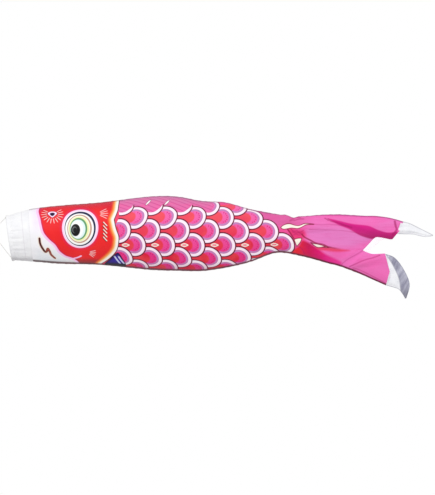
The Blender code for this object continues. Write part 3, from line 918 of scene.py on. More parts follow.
# %% The nostril, the rays and the strokes
def marks_colour(finish, u, v, red):
    """The nostril in its shield with rays round it, and the strokes on the cheek."""
    pale = linear(255, 206, 204)
    nose = (101.6, 55.5)
    for turn in (0, 360):  # the rays pass the angle where ARCTAN2 starts again
        dark = fan(u, v, nose, (13.5, 22.0), 13, -218 + turn, 38 + turn, 0.7, 0.5)
        red = finish.mix(dark * 0.8, red, linear(120, 6, 50))
        red = finish.mix(fan(u, v, nose, (12.6, 24.5), 14, -218 + turn, 38 + turn), red, pale)
    up = v - float(unrolled(np.array([nose[0]]), np.array([nose[1]]))[0])
    sink = finish.clamped((5.0 - up) / 16)
    side = (u - nose[0]).size() * (1 + sink * sink * 2.2)
    shield = (side * side + up * up * 1.5).do("SQRT")
    red = finish.mix(shield.below(12.0, 0.8), red, linear(96, 20, 90))
    red = finish.mix(shield.below(10.8, 0.8), red, linear(255, 232, 250))
    red = finish.mix(shield.below(6.9, 0.8), red, linear(150, 90, 170))
    red = finish.mix(shield.below(5.6, 0.8), red, linear(26, 6, 40))
    for place, size, first, last in (
        ((203.5, 56.5), (10, 27), -28, 32),
        ((181.0, -33.5), (8, 21), -42, 14),
    ):
        dark = fan(u, v, place, size, 4, first, last, 0.6, 0.5)
        red = finish.mix(dark * 0.6, red, linear(170, 30, 90))
        red = finish.mix(fan(u, v, place, size, 5, first, last, 0.75), red, pale)
    return cheek_strokes(finish, u, v, red)


def cheek_strokes(finish, u, v, red):
    """Five short strokes in a column, which run down towards the tail, with dark lower edges."""
    off = (u - 224.0) * 0.743 + (v - 15.6) * 0.669
    row = (off / 5.9).do("ROUND").most(-2.0).least(2.0)
    gap = off - row * 5.9
    along = ((u - 224.0) * 0.669 - (v - 15.6 - row * 8.8) * 0.743).size()
    shade = (gap + 1.4).size().below(1.5, 0.8) * along.below(7.2, 1.6)
    red = finish.mix(shade, red, linear(96, 10, 26))
    light = (gap - 0.2).size().below(1.15, 0.7) * along.below(6.6, 1.6)
    return finish.mix(light, red, linear(255, 226, 214))


# %% The gill edge and the breast fin
GILL_BANDS = (  # distance inside the edge where each colour ends, from the edge in
    (15.4, linear(248, 112, 46)),
    (11.6, linear(250, 190, 112)),
    (9.0, linear(255, 228, 190)),
    (6.8, linear(255, 246, 242)),
)


def gill_colours(finish, gill, cloth):
    """The gill cover's bright edge: orange, yellow and white, with a maroon line outside."""
    for reach, colour in GILL_BANDS:
        cloth = finish.mix(gill.above(-reach, 4.5 if reach > 10 else 2.0), cloth, colour)
    return finish.mix(gill.above(-1.9, 0.7), cloth, linear(70, 8, 26))


def fin_colour(finish, u, v):
    """The dark breast fin below the gill edge, with two white strokes."""
    inside = finish.clamped(finish.stored("fin") / -7.0)
    navy = finish.mix(inside, linear(20, 4, 44), linear(48, 26, 150))
    navy = finish.mix(finish.clamped((-v - 62) / 12), navy, linear(16, 4, 24))
    along = (u - 255.0) + (v + 52) * 0.5
    off = ((u - 254.6) * 0.88 + (v + 54) * 0.47).size()
    stroke = (off - 4.2).size().below(1.9, 0.8) * v.between(-70, -46, 4)
    stroke = stroke * along.size().below(9.0, 3.0)
    return finish.mix(stroke, navy, linear(206, 214, 250))


# %% [markdown]
# ## The back fin and the tail
#
# The back fin is only printed: a mauve band along the top, with darker slanting rays and a few white
# strokes. On the tail the print loosens into streaks, and the wind doubles the thin cloth, where two
# layers look deeper. Dark lines along the tail's creases, folds, pleats and steps are painted shade.
# Those shapes are outlines in the side view, like the face's.
# %% The back fin
def back_colour(finish, u, v):
    """The mauve of the back fin, with its darker slanting rays."""
    tone = finish.noise(finish.vector((u + v * 1.6) / 26, (v - u * 0.1) / 9), 1.0, 2.0)
    band = finish.mix(finish.clamped((v - 76) / 40), linear(240, 98, 166), linear(212, 122, 168))
    band = finish.mottle(tone, 1.1, 0.34, band, linear(196, 128, 178))
    ray = ((u * 0.52 + v * 1.05) * 0.50).do("SINE")
    return finish.mix(ray.above(0.74, 0.5) * 0.48, band, linear(184, 40, 126))


def back_strokes(finish, u, h, colour):
    """The few white strokes on the back fin."""
    for middle in (324.0, 368.0):
        along = (u - middle) * 0.72 + (h - 83.0) * 0.69
        across = (h - 83.0) * 0.72 - (u - middle) * 0.69
        blade = across.size() - (1 - (along / 8.5) * (along / 8.5)) * 1.9
        colour = finish.mix(blade.below(0.9, 0.6) * along.size().below(9.0, 0.5), colour, MAROON)
        inside = blade.below(0.0, 0.6) * along.size().below(8.5, 0.5)
        colour = finish.mix(inside, colour, linear(255, 240, 244))
    return colour


# %% The tail's outlines
def pointed(*parts):
    """A closed outline made of smooth lines that meet at sharp corners."""
    return np.vstack([smooth_line(part)[:-1] for part in parts])


CREAM = [  # the pale flames just ahead of the tail
    pointed(
        ((634, 25), (640, 30.5), (648, 33.6), (657, 34), (666.5, 30.8), (674, 29), (681, 30.5),
         (688, 33), (696, 33.4), (711, 31.5)),
        ((711, 31.5), (700, 31.6), (693, 31), (688, 29), (680, 24.6), (672.5, 22.6), (664, 23.6),
         (657, 24), (650, 22.6), (640, 21.5), (634, 25)),
    ),
    pointed(
        ((665.5, -3), (674, -0.8), (683, -0.5)), ((683, -0.5), (679, -9), (671.5, -18.5)),
        ((671.5, -18.5), (668.5, -11), (665.5, -3)),
    ),
    pointed(
        ((704, -10), (712, -13), (719, -14), (731, -17.2), (746, -22)),
        ((746, -22), (738, -21.2), (731, -20.6), (722, -21.4), (715, -18.6), (704, -10)),
    ),
]
TAIL_AREAS = {
    "stripe": ((772, -64), (793, -67), (826, -36), (856, 0), (846, -3), (815, -30), (790, -48)),
    "blush": ((652, 22), (672, 19), (688, 17), (692, 6), (684, -2), (664, 0)),
    "ember": (
        (655, -27), (664, -26), (676, -18), (684, -5), (697, -9), (708, -16), (722, -25), (740, -38),
        (776, -56), (770, -70), (716, -58), (690, -50), (664, -40),
    ),
    "streak": ((716, -21), (742, -21), (770, -25), (796, -29), (770, -32), (742, -30), (722, -27)),
    "overlap": (
        (745, 45), (762, 42), (800, 33), (838, 29), (862, 19), (885, 13), (905, 15), (908, 13),
        (903, 1), (888, -5), (868, 1), (848, -2), (820, 6), (794, 21), (766, 32),
    ),
    "centre": (
        (696, 20), (724, 24), (790, 26), (850, 1), (822, -16), (780, -24), (730, -12), (700, -4),
    ),
    "panel": ((800, -68), (852, -43), (879, -38), (888, -66), (880, -108), (852, -98), (820, -80)),
}
TAIL_LINES = {
    "crease": [((744, 45), (752, 39), (766, 36), (800, 24)), ((737, 46), (741, 44), (745, 41))],
    "fold": [((901, 39), (903, 28), (905, 19), (896, 8))],
    "step": [((772, -66), (790, -50), (826, -29), (854, 1))],
    "second_step": [((795, -67), (828, -52), (850, -46), (866, -40))],
    "vein": [
        ((704, 32.4), (724, 31), (760, 31), (800, 27)),
        ((700, 20), (740, 19), (790, 16), (840, 6)),
    ],
    "hem_line": [((803, -70), (826, -78), (858, -94), (880, -106))],
    "ridge": [
        ((683.5, 9), (689, 2.5), (703.5, -5), (715.5, -11), (733.5, -15), (746, -20.4), (777, -26.5)),
        ((649, 22), (656, 12), (663, 1), (667, -4)),
    ],
    "pleats": [
        ((658, 21), (665, 15.5), (671, 17.5), (678, 14), (687, 18)),
        ((661, 15), (668, 12), (675, 13), (681, 10.5), (686, 11.5)),
        ((663, 7), (670, 9), (677, 7), (684, 9)),
        ((650, 54), (656, 48.6), (661, 46), (668, 47.4), (680, 46)),
        ((655, 40), (662, 42.5), (668, 41.5), (676, 43), (688, 43.6)),
        ((676, -20), (684, -26), (692, -40), (704, -50)),
    ],
}
TAIL_SHAPES = {word: ([smooth_line(line, closed=True)], True) for word, line in TAIL_AREAS.items()}
TAIL_SHAPES["cream"] = (CREAM, True)
for word, lines in TAIL_LINES.items():
    TAIL_SHAPES[word] = ([smooth_line(line) for line in lines], False)
print("tail outlines:", len(TAIL_SHAPES))


# %% The tail's colours
def tail_colour(finish, u, h):
    """The loose streaks of the tail's print, with its cream flames and maroon lines, and dark lines
    painted as shade along its creases, folds, pleats and steps.
    """
    tone = finish.noise(finish.vector(u / 70, h / 24), 1.0, 2.0)
    wisp = finish.noise(finish.vector(u / 42, h / 3.4), 1.0, 3.0)
    pink = finish.mottle(tone, 1.5, 0.3, linear(243, 92, 176), linear(236, 124, 196))
    front = finish.clamped((716 - u) / 60)
    pink = finish.mix(front * h.above(26, 12) * 0.75, pink, linear(216, 88, 152))
    pink = finish.mix(front * h.below(26, 12) * 0.7, pink, linear(238, 62, 136))
    centre = finish.stored("centre")
    pink = finish.mix(centre.below(0, 16.0) * 0.8, pink, linear(226, 126, 196))
    pink = finish.mix(finish.clamped(wisp * 3.0 - 1.5) * 0.35, pink, linear(214, 60, 140))
    pink = finish.mix(finish.stored("blush").below(0, 7.0) * 0.8, pink, linear(228, 36, 104))
    ember = finish.stored("ember")
    hot = finish.mix(finish.clamped((u - 672) / 26), linear(238, 30, 52), linear(206, 0, 84))
    hot = finish.mix(finish.clamped((u - 700) / 40), hot, linear(228, 8, 128))
    hot = finish.mix(finish.clamped((u - 730) / 50), hot, linear(240, 60, 160))
    hot = finish.mix(finish.clamped(wisp * 3.0 - 1.7) * 0.5, hot, linear(250, 70, 60))
    pink = finish.mix(ember.below(0, 6.0), pink, hot)
    pink = finish.mix(finish.stored("streak").below(0, 5.0) * 0.8, pink, linear(238, 50, 84))
    overlap = finish.stored("overlap")
    pink = finish.mix(finish.stored("stripe").below(0, 2.0) * 0.7, pink, linear(248, 112, 194))
    deep = finish.mix(finish.clamped((h - 2) / 22), linear(172, 0, 98), linear(214, 0, 130))
    pink = finish.mix(overlap.below(0, 3.0) * 0.95, pink, deep)
    pink = finish.mix(finish.stored("panel").below(0, 2.0) * 0.5, pink, linear(232, 108, 178))
    # The crease, fold, pleat and step lines are painted shade in the cloth's folds.
    for word, width, depth in (
        ("crease", 1.2, 0.6), ("fold", 2.2, 0.7), ("vein", 0.8, 0.4), ("pleats", 0.8, 0.6),
        ("step", 0.9, 0.45), ("second_step", 1.1, 0.6), ("hem_line", 0.8, 0.5),
    ):
        line = finish.stored(word)
        pink = finish.mix(line.below(width + 0.3, 2.0) * depth, pink, linear(168, 6, 96))
    ridge = finish.stored("ridge").below(1.7, 1.8) * u.below(762, 30)
    pink = finish.mix(ridge * 0.85, pink, linear(150, 6, 56))
    cream = finish.stored("cream") + 0.5
    pink = finish.mix(cream.below(1.9, 1.0) * 0.9, pink, linear(138, 10, 52))
    return finish.mix(cream.below(0.0, 1.0), pink, linear(255, 244, 232))
# %% [markdown]
# ## The cloth finishes
#
# The sleeve is light polyester taffeta. Its weave is far finer than the print, so it goes in as bump,
# together with a fine crinkle, and the sheen is that of a filament yarn. The outer face carries the
# print at full strength, and the inner face shows it paler, as dye that has come through. The inner
# face also gets painted light: a faint glow, and on the tail a wash nearly to white, in place of the
# light that shines through the thin cloth.
# %% Cloth finishes
WHITE = linear(250, 250, 252)


def cloth_height(finish, u, v, crinkle):
    """The weave and the crinkle, as a height in mm."""
    warp = (u * 15.0).do("SINE") * (v * 15.0).do("SINE")
    slub = finish.noise(finish.vector(u / 9, v / 1.4), 1.0, 2.0)
    crease = finish.noise(finish.vector(u / 26, v / 9), 1.0, 4.0)
    return warp * 0.010 + slub * 0.05 + crease * crinkle


def cloth_finish(name, paint, pale=0.0, crinkle=0.9, glow=0.0):
    """A printed cloth: paint(finish, u, v, h) gives the print, and pale is how far it is washed out.

    Glow is the light that comes through the thin cloth to its shaded inner face."""
    finish = Finish(name)
    u, v = finish.printed_map("Print")
    _, h = finish.printed_map("Side")
    colour = paint(finish, u, v, h)
    if pale:
        colour = finish.mix(pale, colour, WHITE)
    spread = finish.noise(finish.vector(u / 40, v / 40), 1.0, 2.0)
    rough = spread * 0.16 + 0.44
    height = cloth_height(finish, u, v, crinkle)
    return finish.finish_with(
        colour, rough, height, 1.0 * MM, 0.7, Sheen_Weight=0.04, Sheen_Roughness=0.4,
        Specular_IOR_Level=0.22, Emission_Color=WHITE, Emission_Strength=glow,
    )


# %% The prints
# Each takes the finish, the unrolled place u and v, and the height h in the side view.
def edge_outline_and_shade(finish, colour, h):
    """The dark edge along the back and the belly: partly the print's outline and partly painted shade,
    wider and darker underneath.
    """
    shade = finish.mix(h.above(0.0, 10.0), linear(96, 12, 44), linear(112, 36, 96))
    # Painted shade: on the lower side the dark band reaches further in and is darker.
    under = h.below(0.0, 10.0)
    near = (finish.stored("edge") - under * 1.8).below(2.4, 2.2) * (under * 0.35 + 0.6)
    return finish.mix(near, colour, shade)


def paint_band(finish, u, v, h):
    """Plain white cloth, with faint lines where it is doubled at its seams, and painted shade towards
    its bottom.
    """
    tone = finish.noise(finish.vector(u / 18, v / 18), 1.0, 3.0)
    white = finish.mottle(tone, 1.5, 0.4, linear(238, 238, 242), linear(252, 252, 252))
    seam = (u - 33.5).size().below(0.9, 0.8).most((u - 50.0).size().below(0.9, 0.8))
    white = finish.mix(seam * 0.35, white, linear(216, 208, 220))
    # Painted shade: greyer towards the bottom of the band.
    under = finish.clamped((-46 - v) / 16)
    return finish.mix(under * 0.6, white, linear(170, 168, 172))


def paint_head(finish, u, v, h):
    """The face as far as the gill edge, and then the first scales and the breast fin."""
    face = face_colour(finish, u, v)
    body, scales = scale_colour(finish, u, v)
    body = finish.mix(scales, tail_base(finish, u, h), body)
    body = back_strokes(finish, u, h, body)
    body = edge_outline_and_shade(finish, body, h)
    body = finish.mix(finish.stored("fin").below(0.6, 0.8), body, fin_colour(finish, u, v))
    return finish.mix(finish.stored("gill").above(0.0, 0.4), face, body)


def tail_base(finish, u, h):
    """The plain pink behind the last scale."""
    tone = finish.noise(finish.vector(u / 40, h / 14), 1.0, 2.0)
    return finish.mottle(tone, 1.5, 0.3, linear(240, 66, 140), linear(240, 100, 170))


def paint_body(finish, u, v, h):
    """Scales, with the back fin over them."""
    body, scales = scale_colour(finish, u, v)
    body = finish.mix(scales, tail_base(finish, u, h), body)
    body = back_strokes(finish, u, h, body)
    return edge_outline_and_shade(finish, body, h)


def paint_root(finish, u, v, h):
    """The last scales, on the tail's streaks."""
    body, scales = scale_colour(finish, u, v)
    body = finish.mix(scales, tail_colour(finish, u, h), body)
    return edge_outline_and_shade(finish, body, h)


def paint_tail(finish, u, v, h):
    """The tail's streaks alone."""
    return edge_outline_and_shade(finish, tail_colour(finish, u, h), h)


def paint_tip(finish, u, v, h):
    """White cloth, with painted shade: grey where it curls away from the light, grey streaks in its
    creases, and a grey line along its edges.
    """
    tone = finish.noise(finish.vector(u / 16, h / 16), 1.0, 3.0)
    white = finish.mottle(tone, 1.5, 0.4, linear(236, 237, 243), linear(252, 252, 253))
    streak = finish.noise(finish.vector((u - h * 0.5) / 9, (h + u * 0.5) / 60), 1.0, 2.0)
    fine = finish.noise(finish.vector((u - h * 0.4) / 4, (h + u * 0.4) / 50), 1.0, 2.0)
    curl = finish.stored("curl")
    # Painted light and shade: the curled strip is grey with lighter streaks, darker towards its bottom,
    # with a darker outline.
    grey = finish.mottle(streak, 2.4, 0.8, linear(102, 100, 132), linear(192, 192, 210))
    grey = finish.mix(finish.clamped(fine * 5.0 - 3.0) * 0.6, grey, linear(240, 240, 246))
    grey = finish.mix(h.below(-122.0, 16.0) * 0.6, grey, linear(84, 82, 104))
    # Painted shade: grey streaks in the creases.
    white = finish.mix(finish.clamped(fine * 5.0 - 2.9) * 0.3, white, linear(176, 176, 192))
    white = finish.mix(curl.below(0, 3.0) * 0.85, white, grey)
    white = finish.mix(curl.size().below(1.2, 1.4) * 0.4, white, linear(110, 108, 130))
    # Painted shade: a grey line along the edges.
    return finish.mix(finish.stored("edge").below(1.6, 1.6) * 0.55, white, linear(120, 118, 134))


# %% A finish for each side of each cloth
# The tail's inner face is washed nearly white: painted light, in place of light through the cloth.
PAINTS = {  # the print, how crinkled the cloth is, and how pale its inner face
    "band": (paint_band, 1.1, 0.3), "head": (paint_head, 0.5, 0.45), "body": (paint_body, 0.7, 0.45),
    "root": (paint_root, 1.2, 0.5), "tail": (paint_tail, 1.3, 0.93), "tip": (paint_tip, 1.4, 0.3),
}
FINISHES = {}
for word, (paint, crinkle, pale) in PAINTS.items():
    outer = cloth_finish(f"{word}_cloth", paint, 0.0, crinkle)
    # Painted light: the inner faces glow a little, the tail's most.
    glow = 0.22 if word == "tail" else 0.06
    inner = cloth_finish(f"{word}_cloth_inside", paint, pale, crinkle * 0.3, glow)
    FINISHES[word] = (outer, inner)
print("cloth finishes:", ", ".join(FINISHES))
# %% [markdown]
# ## Sewing thread
#
# A lockstitch shows as a row of short raised dashes. One dash is modelled as a slim six-sided bead, and
# copies of it are laid end to end beside each seam.
# %% One stitch and rows of it
STITCH = 2.1 * MM
STITCH_STEP = 3.0 * MM
bpy.ops.mesh.primitive_cylinder_add(vertices=6, radius=0.16 * MM, depth=STITCH, end_fill_type="NGON")
bead = bpy.context.object
bead.name = "stitch_pattern"
bpy.ops.object.mode_set(mode="EDIT")
bpy.ops.mesh.select_all(action="SELECT")
bpy.ops.mesh.bevel(offset=0.09 * MM, segments=1, affect="EDGES")
bpy.ops.object.mode_set(mode="OBJECT")
BEAD_POINTS = np.array([v.co for v in bead.data.vertices])
BEAD_FACES = [tuple(face.vertices) for face in bead.data.polygons]
bpy.data.objects.remove(bead)
print("one stitch:", len(BEAD_FACES), "faces")


def thread_finish(name, colour):
    """Spun thread: a little darker in places, with a fibre bump."""
    finish = Finish(name)
    place = finish.node("TexCoord").outputs["Object"]
    tone = finish.noise(place, 900.0, 2.0)
    strand = finish.noise(place, 4200.0, 1.0)
    darker = tuple(0.72 * c for c in colour[:3]) + (1.0,)
    shade = finish.mottle(tone, 1.4, 0.2, darker, colour)
    return finish.finish_with(shade, tone * 0.2 + 0.5, strand, 0.05 * MM, 0.6, Sheen_Weight=0.2)


WHITE_THREAD = thread_finish("white_thread", linear(246, 246, 244))
PINK_THREAD = thread_finish("pink_thread", linear(222, 70, 130))


def along_line(values, lengths, wanted):
    """Values kept at a line's points, at other lengths along it."""
    return np.stack([np.interp(wanted, lengths, values[:, k]) for k in range(3)], axis=-1)


def stitch_row(name, line, out, finish):
    """Stitches laid along a line of points, lifted by the cloth's outward direction there."""
    lengths = running_length(line)
    starts = np.arange(STITCH_STEP / 2, lengths[-1] - STITCH_STEP / 2, STITCH_STEP)
    middles = along_line(line, lengths, starts)
    lift = along_line(out, lengths, starts)
    run = along_line(line, lengths, starts + 0.4 * MM) - middles
    run /= np.linalg.norm(run, axis=1, keepdims=True)
    lift -= (lift * run).sum(axis=1, keepdims=True) * run
    lift /= np.linalg.norm(lift, axis=1, keepdims=True)
    across = np.cross(run, lift)
    bend = -0.10 * MM * (BEAD_POINTS[:, 2] / (STITCH / 2)) ** 2
    points = (
        (middles + lift * 0.08 * MM)[:, None]
        + BEAD_POINTS[None, :, 0:1] * across[:, None]
        + (BEAD_POINTS[None, :, 1:2] + bend[None, :, None]) * lift[:, None]
        + BEAD_POINTS[None, :, 2:3] * run[:, None]
    )
    faces = []
    for i in range(len(starts)):
        faces += [tuple(i * len(BEAD_POINTS) + k for k in face) for face in BEAD_FACES]
    mesh = bpy.data.meshes.new(name)
    mesh.from_pydata(points.reshape(-1, 3).tolist(), [], faces)
    mesh.materials.append(finish)
    return placed(name, mesh)


print("a stitch every", round(1000 * STITCH_STEP, 1), "mm")
# %% [markdown]
# ## The sleeve, length by length
#
# The real sleeve is one printed tube. Here it's cut into lengths at places that stay inside one moving
# body, and each length covers one joint; it stays where it's made, attached to neither body.
# %% Lengths of the sleeve
SIDES = ((-1, "left"), (1, "right"))


def fix(piece, body, other=None):
    """Attaches a piece to one body; a piece that spans two bodies keeps its place in its mesh and is
    attached to neither.
    """
    if other:
        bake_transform(piece)
    else:
        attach(piece, body)


# name, front, back, body, next body, where the bend starts and ends, finish, replaced nodes
LENGTHS = (
    ("head_cloth", 50, 340, "mouth_and_head", "fore_body", 199, 319, "head",
     ("head_panel", "fore_body_panel")),
    ("body_cloth", 340, 540, "fore_body", "rear_body", 378, 498, "body", ("rear_body_panel",)),
    ("tail_root_cloth", 540, 715, "rear_body", "tail_root", 600, 680, "root", ("tail_root_panel",)),
)
FOLD_NODES = {
    "head_cloth": "shoulder_fold", "body_cloth": "waist_fold", "tail_root_cloth": "tail_fold",
}
step = 2.4 * quick_step
for name, front, back, body, after, start, end, finish, nodes in LENGTHS:
    for side, word in SIDES:
        grain = step if front < 540 else 1.8 * quick_step
        u = np.linspace(front, back, round((back - front) / grain) + 1)
        angle = np.linspace(-90, 90, round(204 / step) + 1)
        u, angle = np.meshgrid(u, angle, indexing="ij")
        middle, tall, wide = section(u)
        turn = np.radians(angle)
        height = middle + tall * np.sin(turn)
        prints = np.stack([u, middle + arc_length(tall, wide, turn)], axis=-1)
        sides = np.stack([u, height], axis=-1)
        places = sleeve_place(u, angle, side)
        shapes = {"head_cloth": HEAD_SHAPES, "tail_root_cloth": TAIL_SHAPES}.get(name, {})
        piece = make_cloth(
            f"{name}_{word}", places, prints, sides, FINISHES[finish], shapes, side < 0,
            tall * (1 - np.abs(np.sin(turn))),
        )
        for place, angles in (("back", (89.0, 86.5)), ("belly", (-89.0, -86.5))):
            near = sleeve_place(u[:, 0], np.full(len(u), angles[1]), side)
            inner = near - np.stack([mouth.x + u[:, 0] * MM, 0 * near[:, 1],
                                     mouth.z + middle[:, 0] * MM], axis=-1)
            row = stitch_row(f"{name}_{place}_stitches_{word}", near, inner, PINK_THREAD)
            fix(row, body, after)
        fix(piece, body, after)
        replaced = [f"{node}_{word}" for node in nodes]
        if side < 0:
            replaced.append(FOLD_NODES[name])
        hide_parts(*replaced)
        min(grid_area(places), 0.999 * math.prod(flat_size(places)))
    print(name, "cut", [round(1000 * x) for x in flat_size(places)], "mm a side")
# %% [markdown]
# ## The mouth
#
# The plain white band at the mouth is turned in round the hoop and sewn down behind it, which makes the
# channel that the hoop lies in. It's cut away at the top and the bottom, where the bridle's cords are
# tied to the bare hoop. One sheet a side does all that: it starts inside, goes round the front of the
# hoop and comes back outside it as the band.
# %% The mouth band
HEM_ROUND = 2.6  # mm, from the hoop's centreline to the middle of the cloth
TURNED_IN = 11.0  # mm of cloth inside, behind the hoop
NOTCH = 7.0  # degrees of the hoop left bare each side of the top and the bottom


def hoop_place(turn_degrees):
    """A point of the hoop's centreline from its top, its outward direction, and the hoop's own axis."""
    up = np.array([-math.sin(HOOP_LEAN), 0, math.cos(HOOP_LEAN)])
    axis = np.array([math.cos(HOOP_LEAN), 0, math.sin(HOOP_LEAN)])
    turn = np.radians(turn_degrees)[..., None]
    out = up * np.cos(turn) + np.array([0, 1, 0]) * np.sin(turn)
    return np.array(mouth) + out * HOOP_RADIUS * MM, out, axis


def mouth_places(side, columns):
    """The band's grid, from the turned-in edge, round the hoop, and back to the printed cloth."""
    turn = np.linspace(180 - NOTCH, NOTCH, columns)
    wave = 0.30 * np.sin(np.radians(turn) * 31 + side) + 0.22 * np.sin(np.radians(turn) * 53)
    grid, prints = [], []
    place, out, axis = hoop_place(side * turn)
    narrow = (HEM_ROUND + wave * 0.8)[..., None] * MM
    for back in np.linspace(TURNED_IN, 0, 7):
        inner = place - out * narrow + axis * back * MM
        grid.append(inner + out * 0.9 * eased(back, 1, 9) * MM)
        prints.append(-back - 9)
    for bend in np.linspace(-90, 90, 11)[1:]:
        around = math.radians(bend)
        grid.append(place + out * narrow * math.sin(around) - axis * narrow * math.cos(around))
        prints.append(-8.0 + 4.0 * (bend + 90) / 180)
    last = grid[-1]
    distances = np.concatenate([np.linspace(2.4, 14, 6), np.linspace(16.4, 50, 15)])
    for u in distances:
        bare = NOTCH * eased(u, 13, 3)
        angle = -90 + bare + (180 - 2 * bare) * np.linspace(0, 1, columns)
        row = sleeve_place(np.full(columns, u), angle, side)
        share = eased(u, 0, 9)
        held = last + axis * u * MM
        grid.append(held * (1 - share) + row * share)
        prints.append(u)
    return np.stack(grid), np.array(prints)


for side, word in SIDES:
    columns = round(190 / step) + 1
    places, distance = mouth_places(side, columns)
    u = np.repeat(distance[:, None], columns, axis=1)
    spread = np.linspace(-1, 1, columns)[None, :]
    middle, tall, wide = section(np.maximum(u, 0))
    turn = spread * math.pi / 2
    prints = np.stack([u, middle + arc_length(tall, wide, turn)], axis=-1)
    sides = np.stack([u, middle + tall * np.sin(turn)], axis=-1)
    piece = make_cloth(
        f"mouth_band_cloth_{word}", places, prints, sides, FINISHES["band"], (), side < 0,
    )
    for place, back in (("hem", 8.5), ("seam_front", 33.0), ("seam_back", 48.0)):
        angle = np.linspace(-84, 84, 120)
        line = sleeve_place(np.full(120, back), angle, side)
        centre = np.array(at(back, 0, float(section(back)[0])))
        row = stitch_row(f"mouth_{place}_stitches_{word}", line, line - centre, WHITE_THREAD)
        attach(row, "mouth_and_head")
    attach(piece, "mouth_and_head")
    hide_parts(f"mouth_hem_{word}", f"mouth_band_{word}")
    min(grid_area(places), 0.999 * math.prod(flat_size(places)))
print("mouth band cut", [round(1000 * x) for x in flat_size(places)], "mm a side")
# %% [markdown]
# ## The tail
#
# Past its narrow root the sleeve opens into two lobes. Each side of each lobe is one sheet, sewn along
# its outer edge and free along the notch. The free edges of the two sides part a little, so that the
# pale inside of the far one shows in the notch, as it does when the wind blows out between them.
# %% The lobes' edges
ROOT = 715.0
FORK = 826.0
FORK_HEIGHT = -28.5
tail_top = float(section(745.0)[0] + section(745.0)[1])
tail_foot = float(section(745.0)[0] - section(745.0)[1])
UPPER_EDGE = np.array(
    ((745, tail_top), (779, 55.4), (828, 52.4), (855, 52.0), (883, 48.6), (905, 43.6), (921, 38.6))
)
LOWER_EDGE = np.array(
    ((745, tail_foot), (769, -65), (791, -73), (821, -84.5), (850, -97.5), (882, -111.5))
)
UPPER_FREE = {
    -1: np.array(((FORK, FORK_HEIGHT), (840, -14), (855, 1), (870, 1), (895, -3), (921, 2))),
    1: np.array(
        ((FORK, FORK_HEIGHT), (838, -27), (852, -20), (866, -6), (880, -1), (895, -4), (921, 1))
    ),
}
LOWER_FREE = {
    -1: np.array(((FORK, FORK_HEIGHT), (838, -34), (852, -37), (878, -36), (890, -38))),
    1: np.array(((FORK, FORK_HEIGHT), (838, -31), (852, -35), (878, -38), (890, -40))),
}


def edge_height(line, u):
    """The height of a smooth edge at distances behind the mouth."""
    smooth = smooth_line(line)
    return np.interp(u, smooth[:, 0], smooth[:, 1])


def lobe_place(u, share, upper, side):
    """Points of a lobe from its sewn edge, share 0, to its free edge or the line to the notch, 1."""
    middle, tall, wide = section(np.minimum(u, TAIL_FRONT))
    seam = UPPER_EDGE if upper else LOWER_EDGE
    free = (UPPER_FREE if upper else LOWER_FREE)[side]
    sewn = np.where(u < 745, middle + (tall if upper else -tall), edge_height(seam, u))
    open_edge = np.where(u < FORK, FORK_HEIGHT, edge_height(free, np.maximum(u, FORK)))
    h = sewn + (open_edge - sewn) * share
    tall = np.abs(sewn - middle)
    turn = np.arcsin(np.clip((h - middle) / tall, -1, 1))
    from_seam = seam_gap(turn, tall, wide)
    bulge = np.interp(u, (FORK, 905), (14, 10))
    lobe_y = bulge * np.sin(math.pi * share**0.8 * 0.83)
    opened = eased(u, 785, 850)
    lift = fold_depth(u, h) + ripple(u, h * 1.1, side)
    lift += 1.6 * np.sin(share * 9 + u / 23 + side) * eased(u, 826, 900)
    lift = lift * eased(from_seam, 0, 14) + pucker(u, from_seam)
    out_y, out_h = np.cos(turn) / wide, np.sin(turn) / tall
    out = np.hypot(out_y, out_h)
    round_y = wide * np.cos(turn) + lift * out_y / out
    y = np.maximum(round_y * (1 - opened) + (lobe_y + lift) * opened, 0.0) + 0.2
    shown = h + lift * out_h / out * (1 - opened)
    places = np.stack([mouth.x + u * MM, side * y * MM, mouth.z + shown * MM], axis=-1)
    return places, h, np.abs(h - sewn)


# %% The lobes
fine = 1.7 * quick_step
LOBE_ENDS = {True: ((0, 921), (0.6, 912), (1, 895)), False: ((0, 880), (0.45, 889), (1, 878))}
for upper, lobe in ((True, "upper"), (False, "lower")):
    ends = np.array(LOBE_ENDS[upper], float)
    for side, word in SIDES:
        columns = round(88 / fine) + 1
        share = 1 - np.cos(np.linspace(0, math.pi / 2, columns))
        whole = np.linspace(ROOT, FORK, round(111 / fine) + 1)
        parted = np.linspace(0, 1, round(80 / fine) + 1)[1:]
        row, share = np.meshgrid(np.concatenate([whole, FORK + parted]), share, indexing="ij")
        end = np.interp(share, ends[:, 0], ends[:, 1])
        u = np.where(row <= FORK, row, FORK + (row - FORK) * (end - FORK))
        places, height, from_edge = lobe_place(u, share, upper, side)
        prints = np.stack([u, height], axis=-1)
        piece = make_cloth(
            f"{lobe}_lobe_cloth_{word}", places, prints, prints, FINISHES["tail"], TAIL_SHAPES,
            (side > 0) == upper, from_edge,
        )
        line = lobe_place(u[:, 0], np.full(len(u), 0.035), upper, side)[0]
        out = np.zeros_like(line) + np.array([0, side * 1.0, 0.3 if upper else -0.3])
        row = stitch_row(f"{lobe}_lobe_stitches_{word}", line, out, PINK_THREAD)
        for made in (row, piece):
            fix(made, "tail_root", f"{lobe}_lobe")
        replaced = [f"{lobe}_lobe_panel_{word}"]
        if side < 0:
            replaced.append(f"{lobe}_lobe_fold")
        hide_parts(*replaced)
        "tail_root_cloth_" + word
        min(grid_area(places), 0.999 * math.prod(flat_size(places)))
    print(lobe, "lobe cut", [round(1000 * x) for x in flat_size(places)], "mm a side")
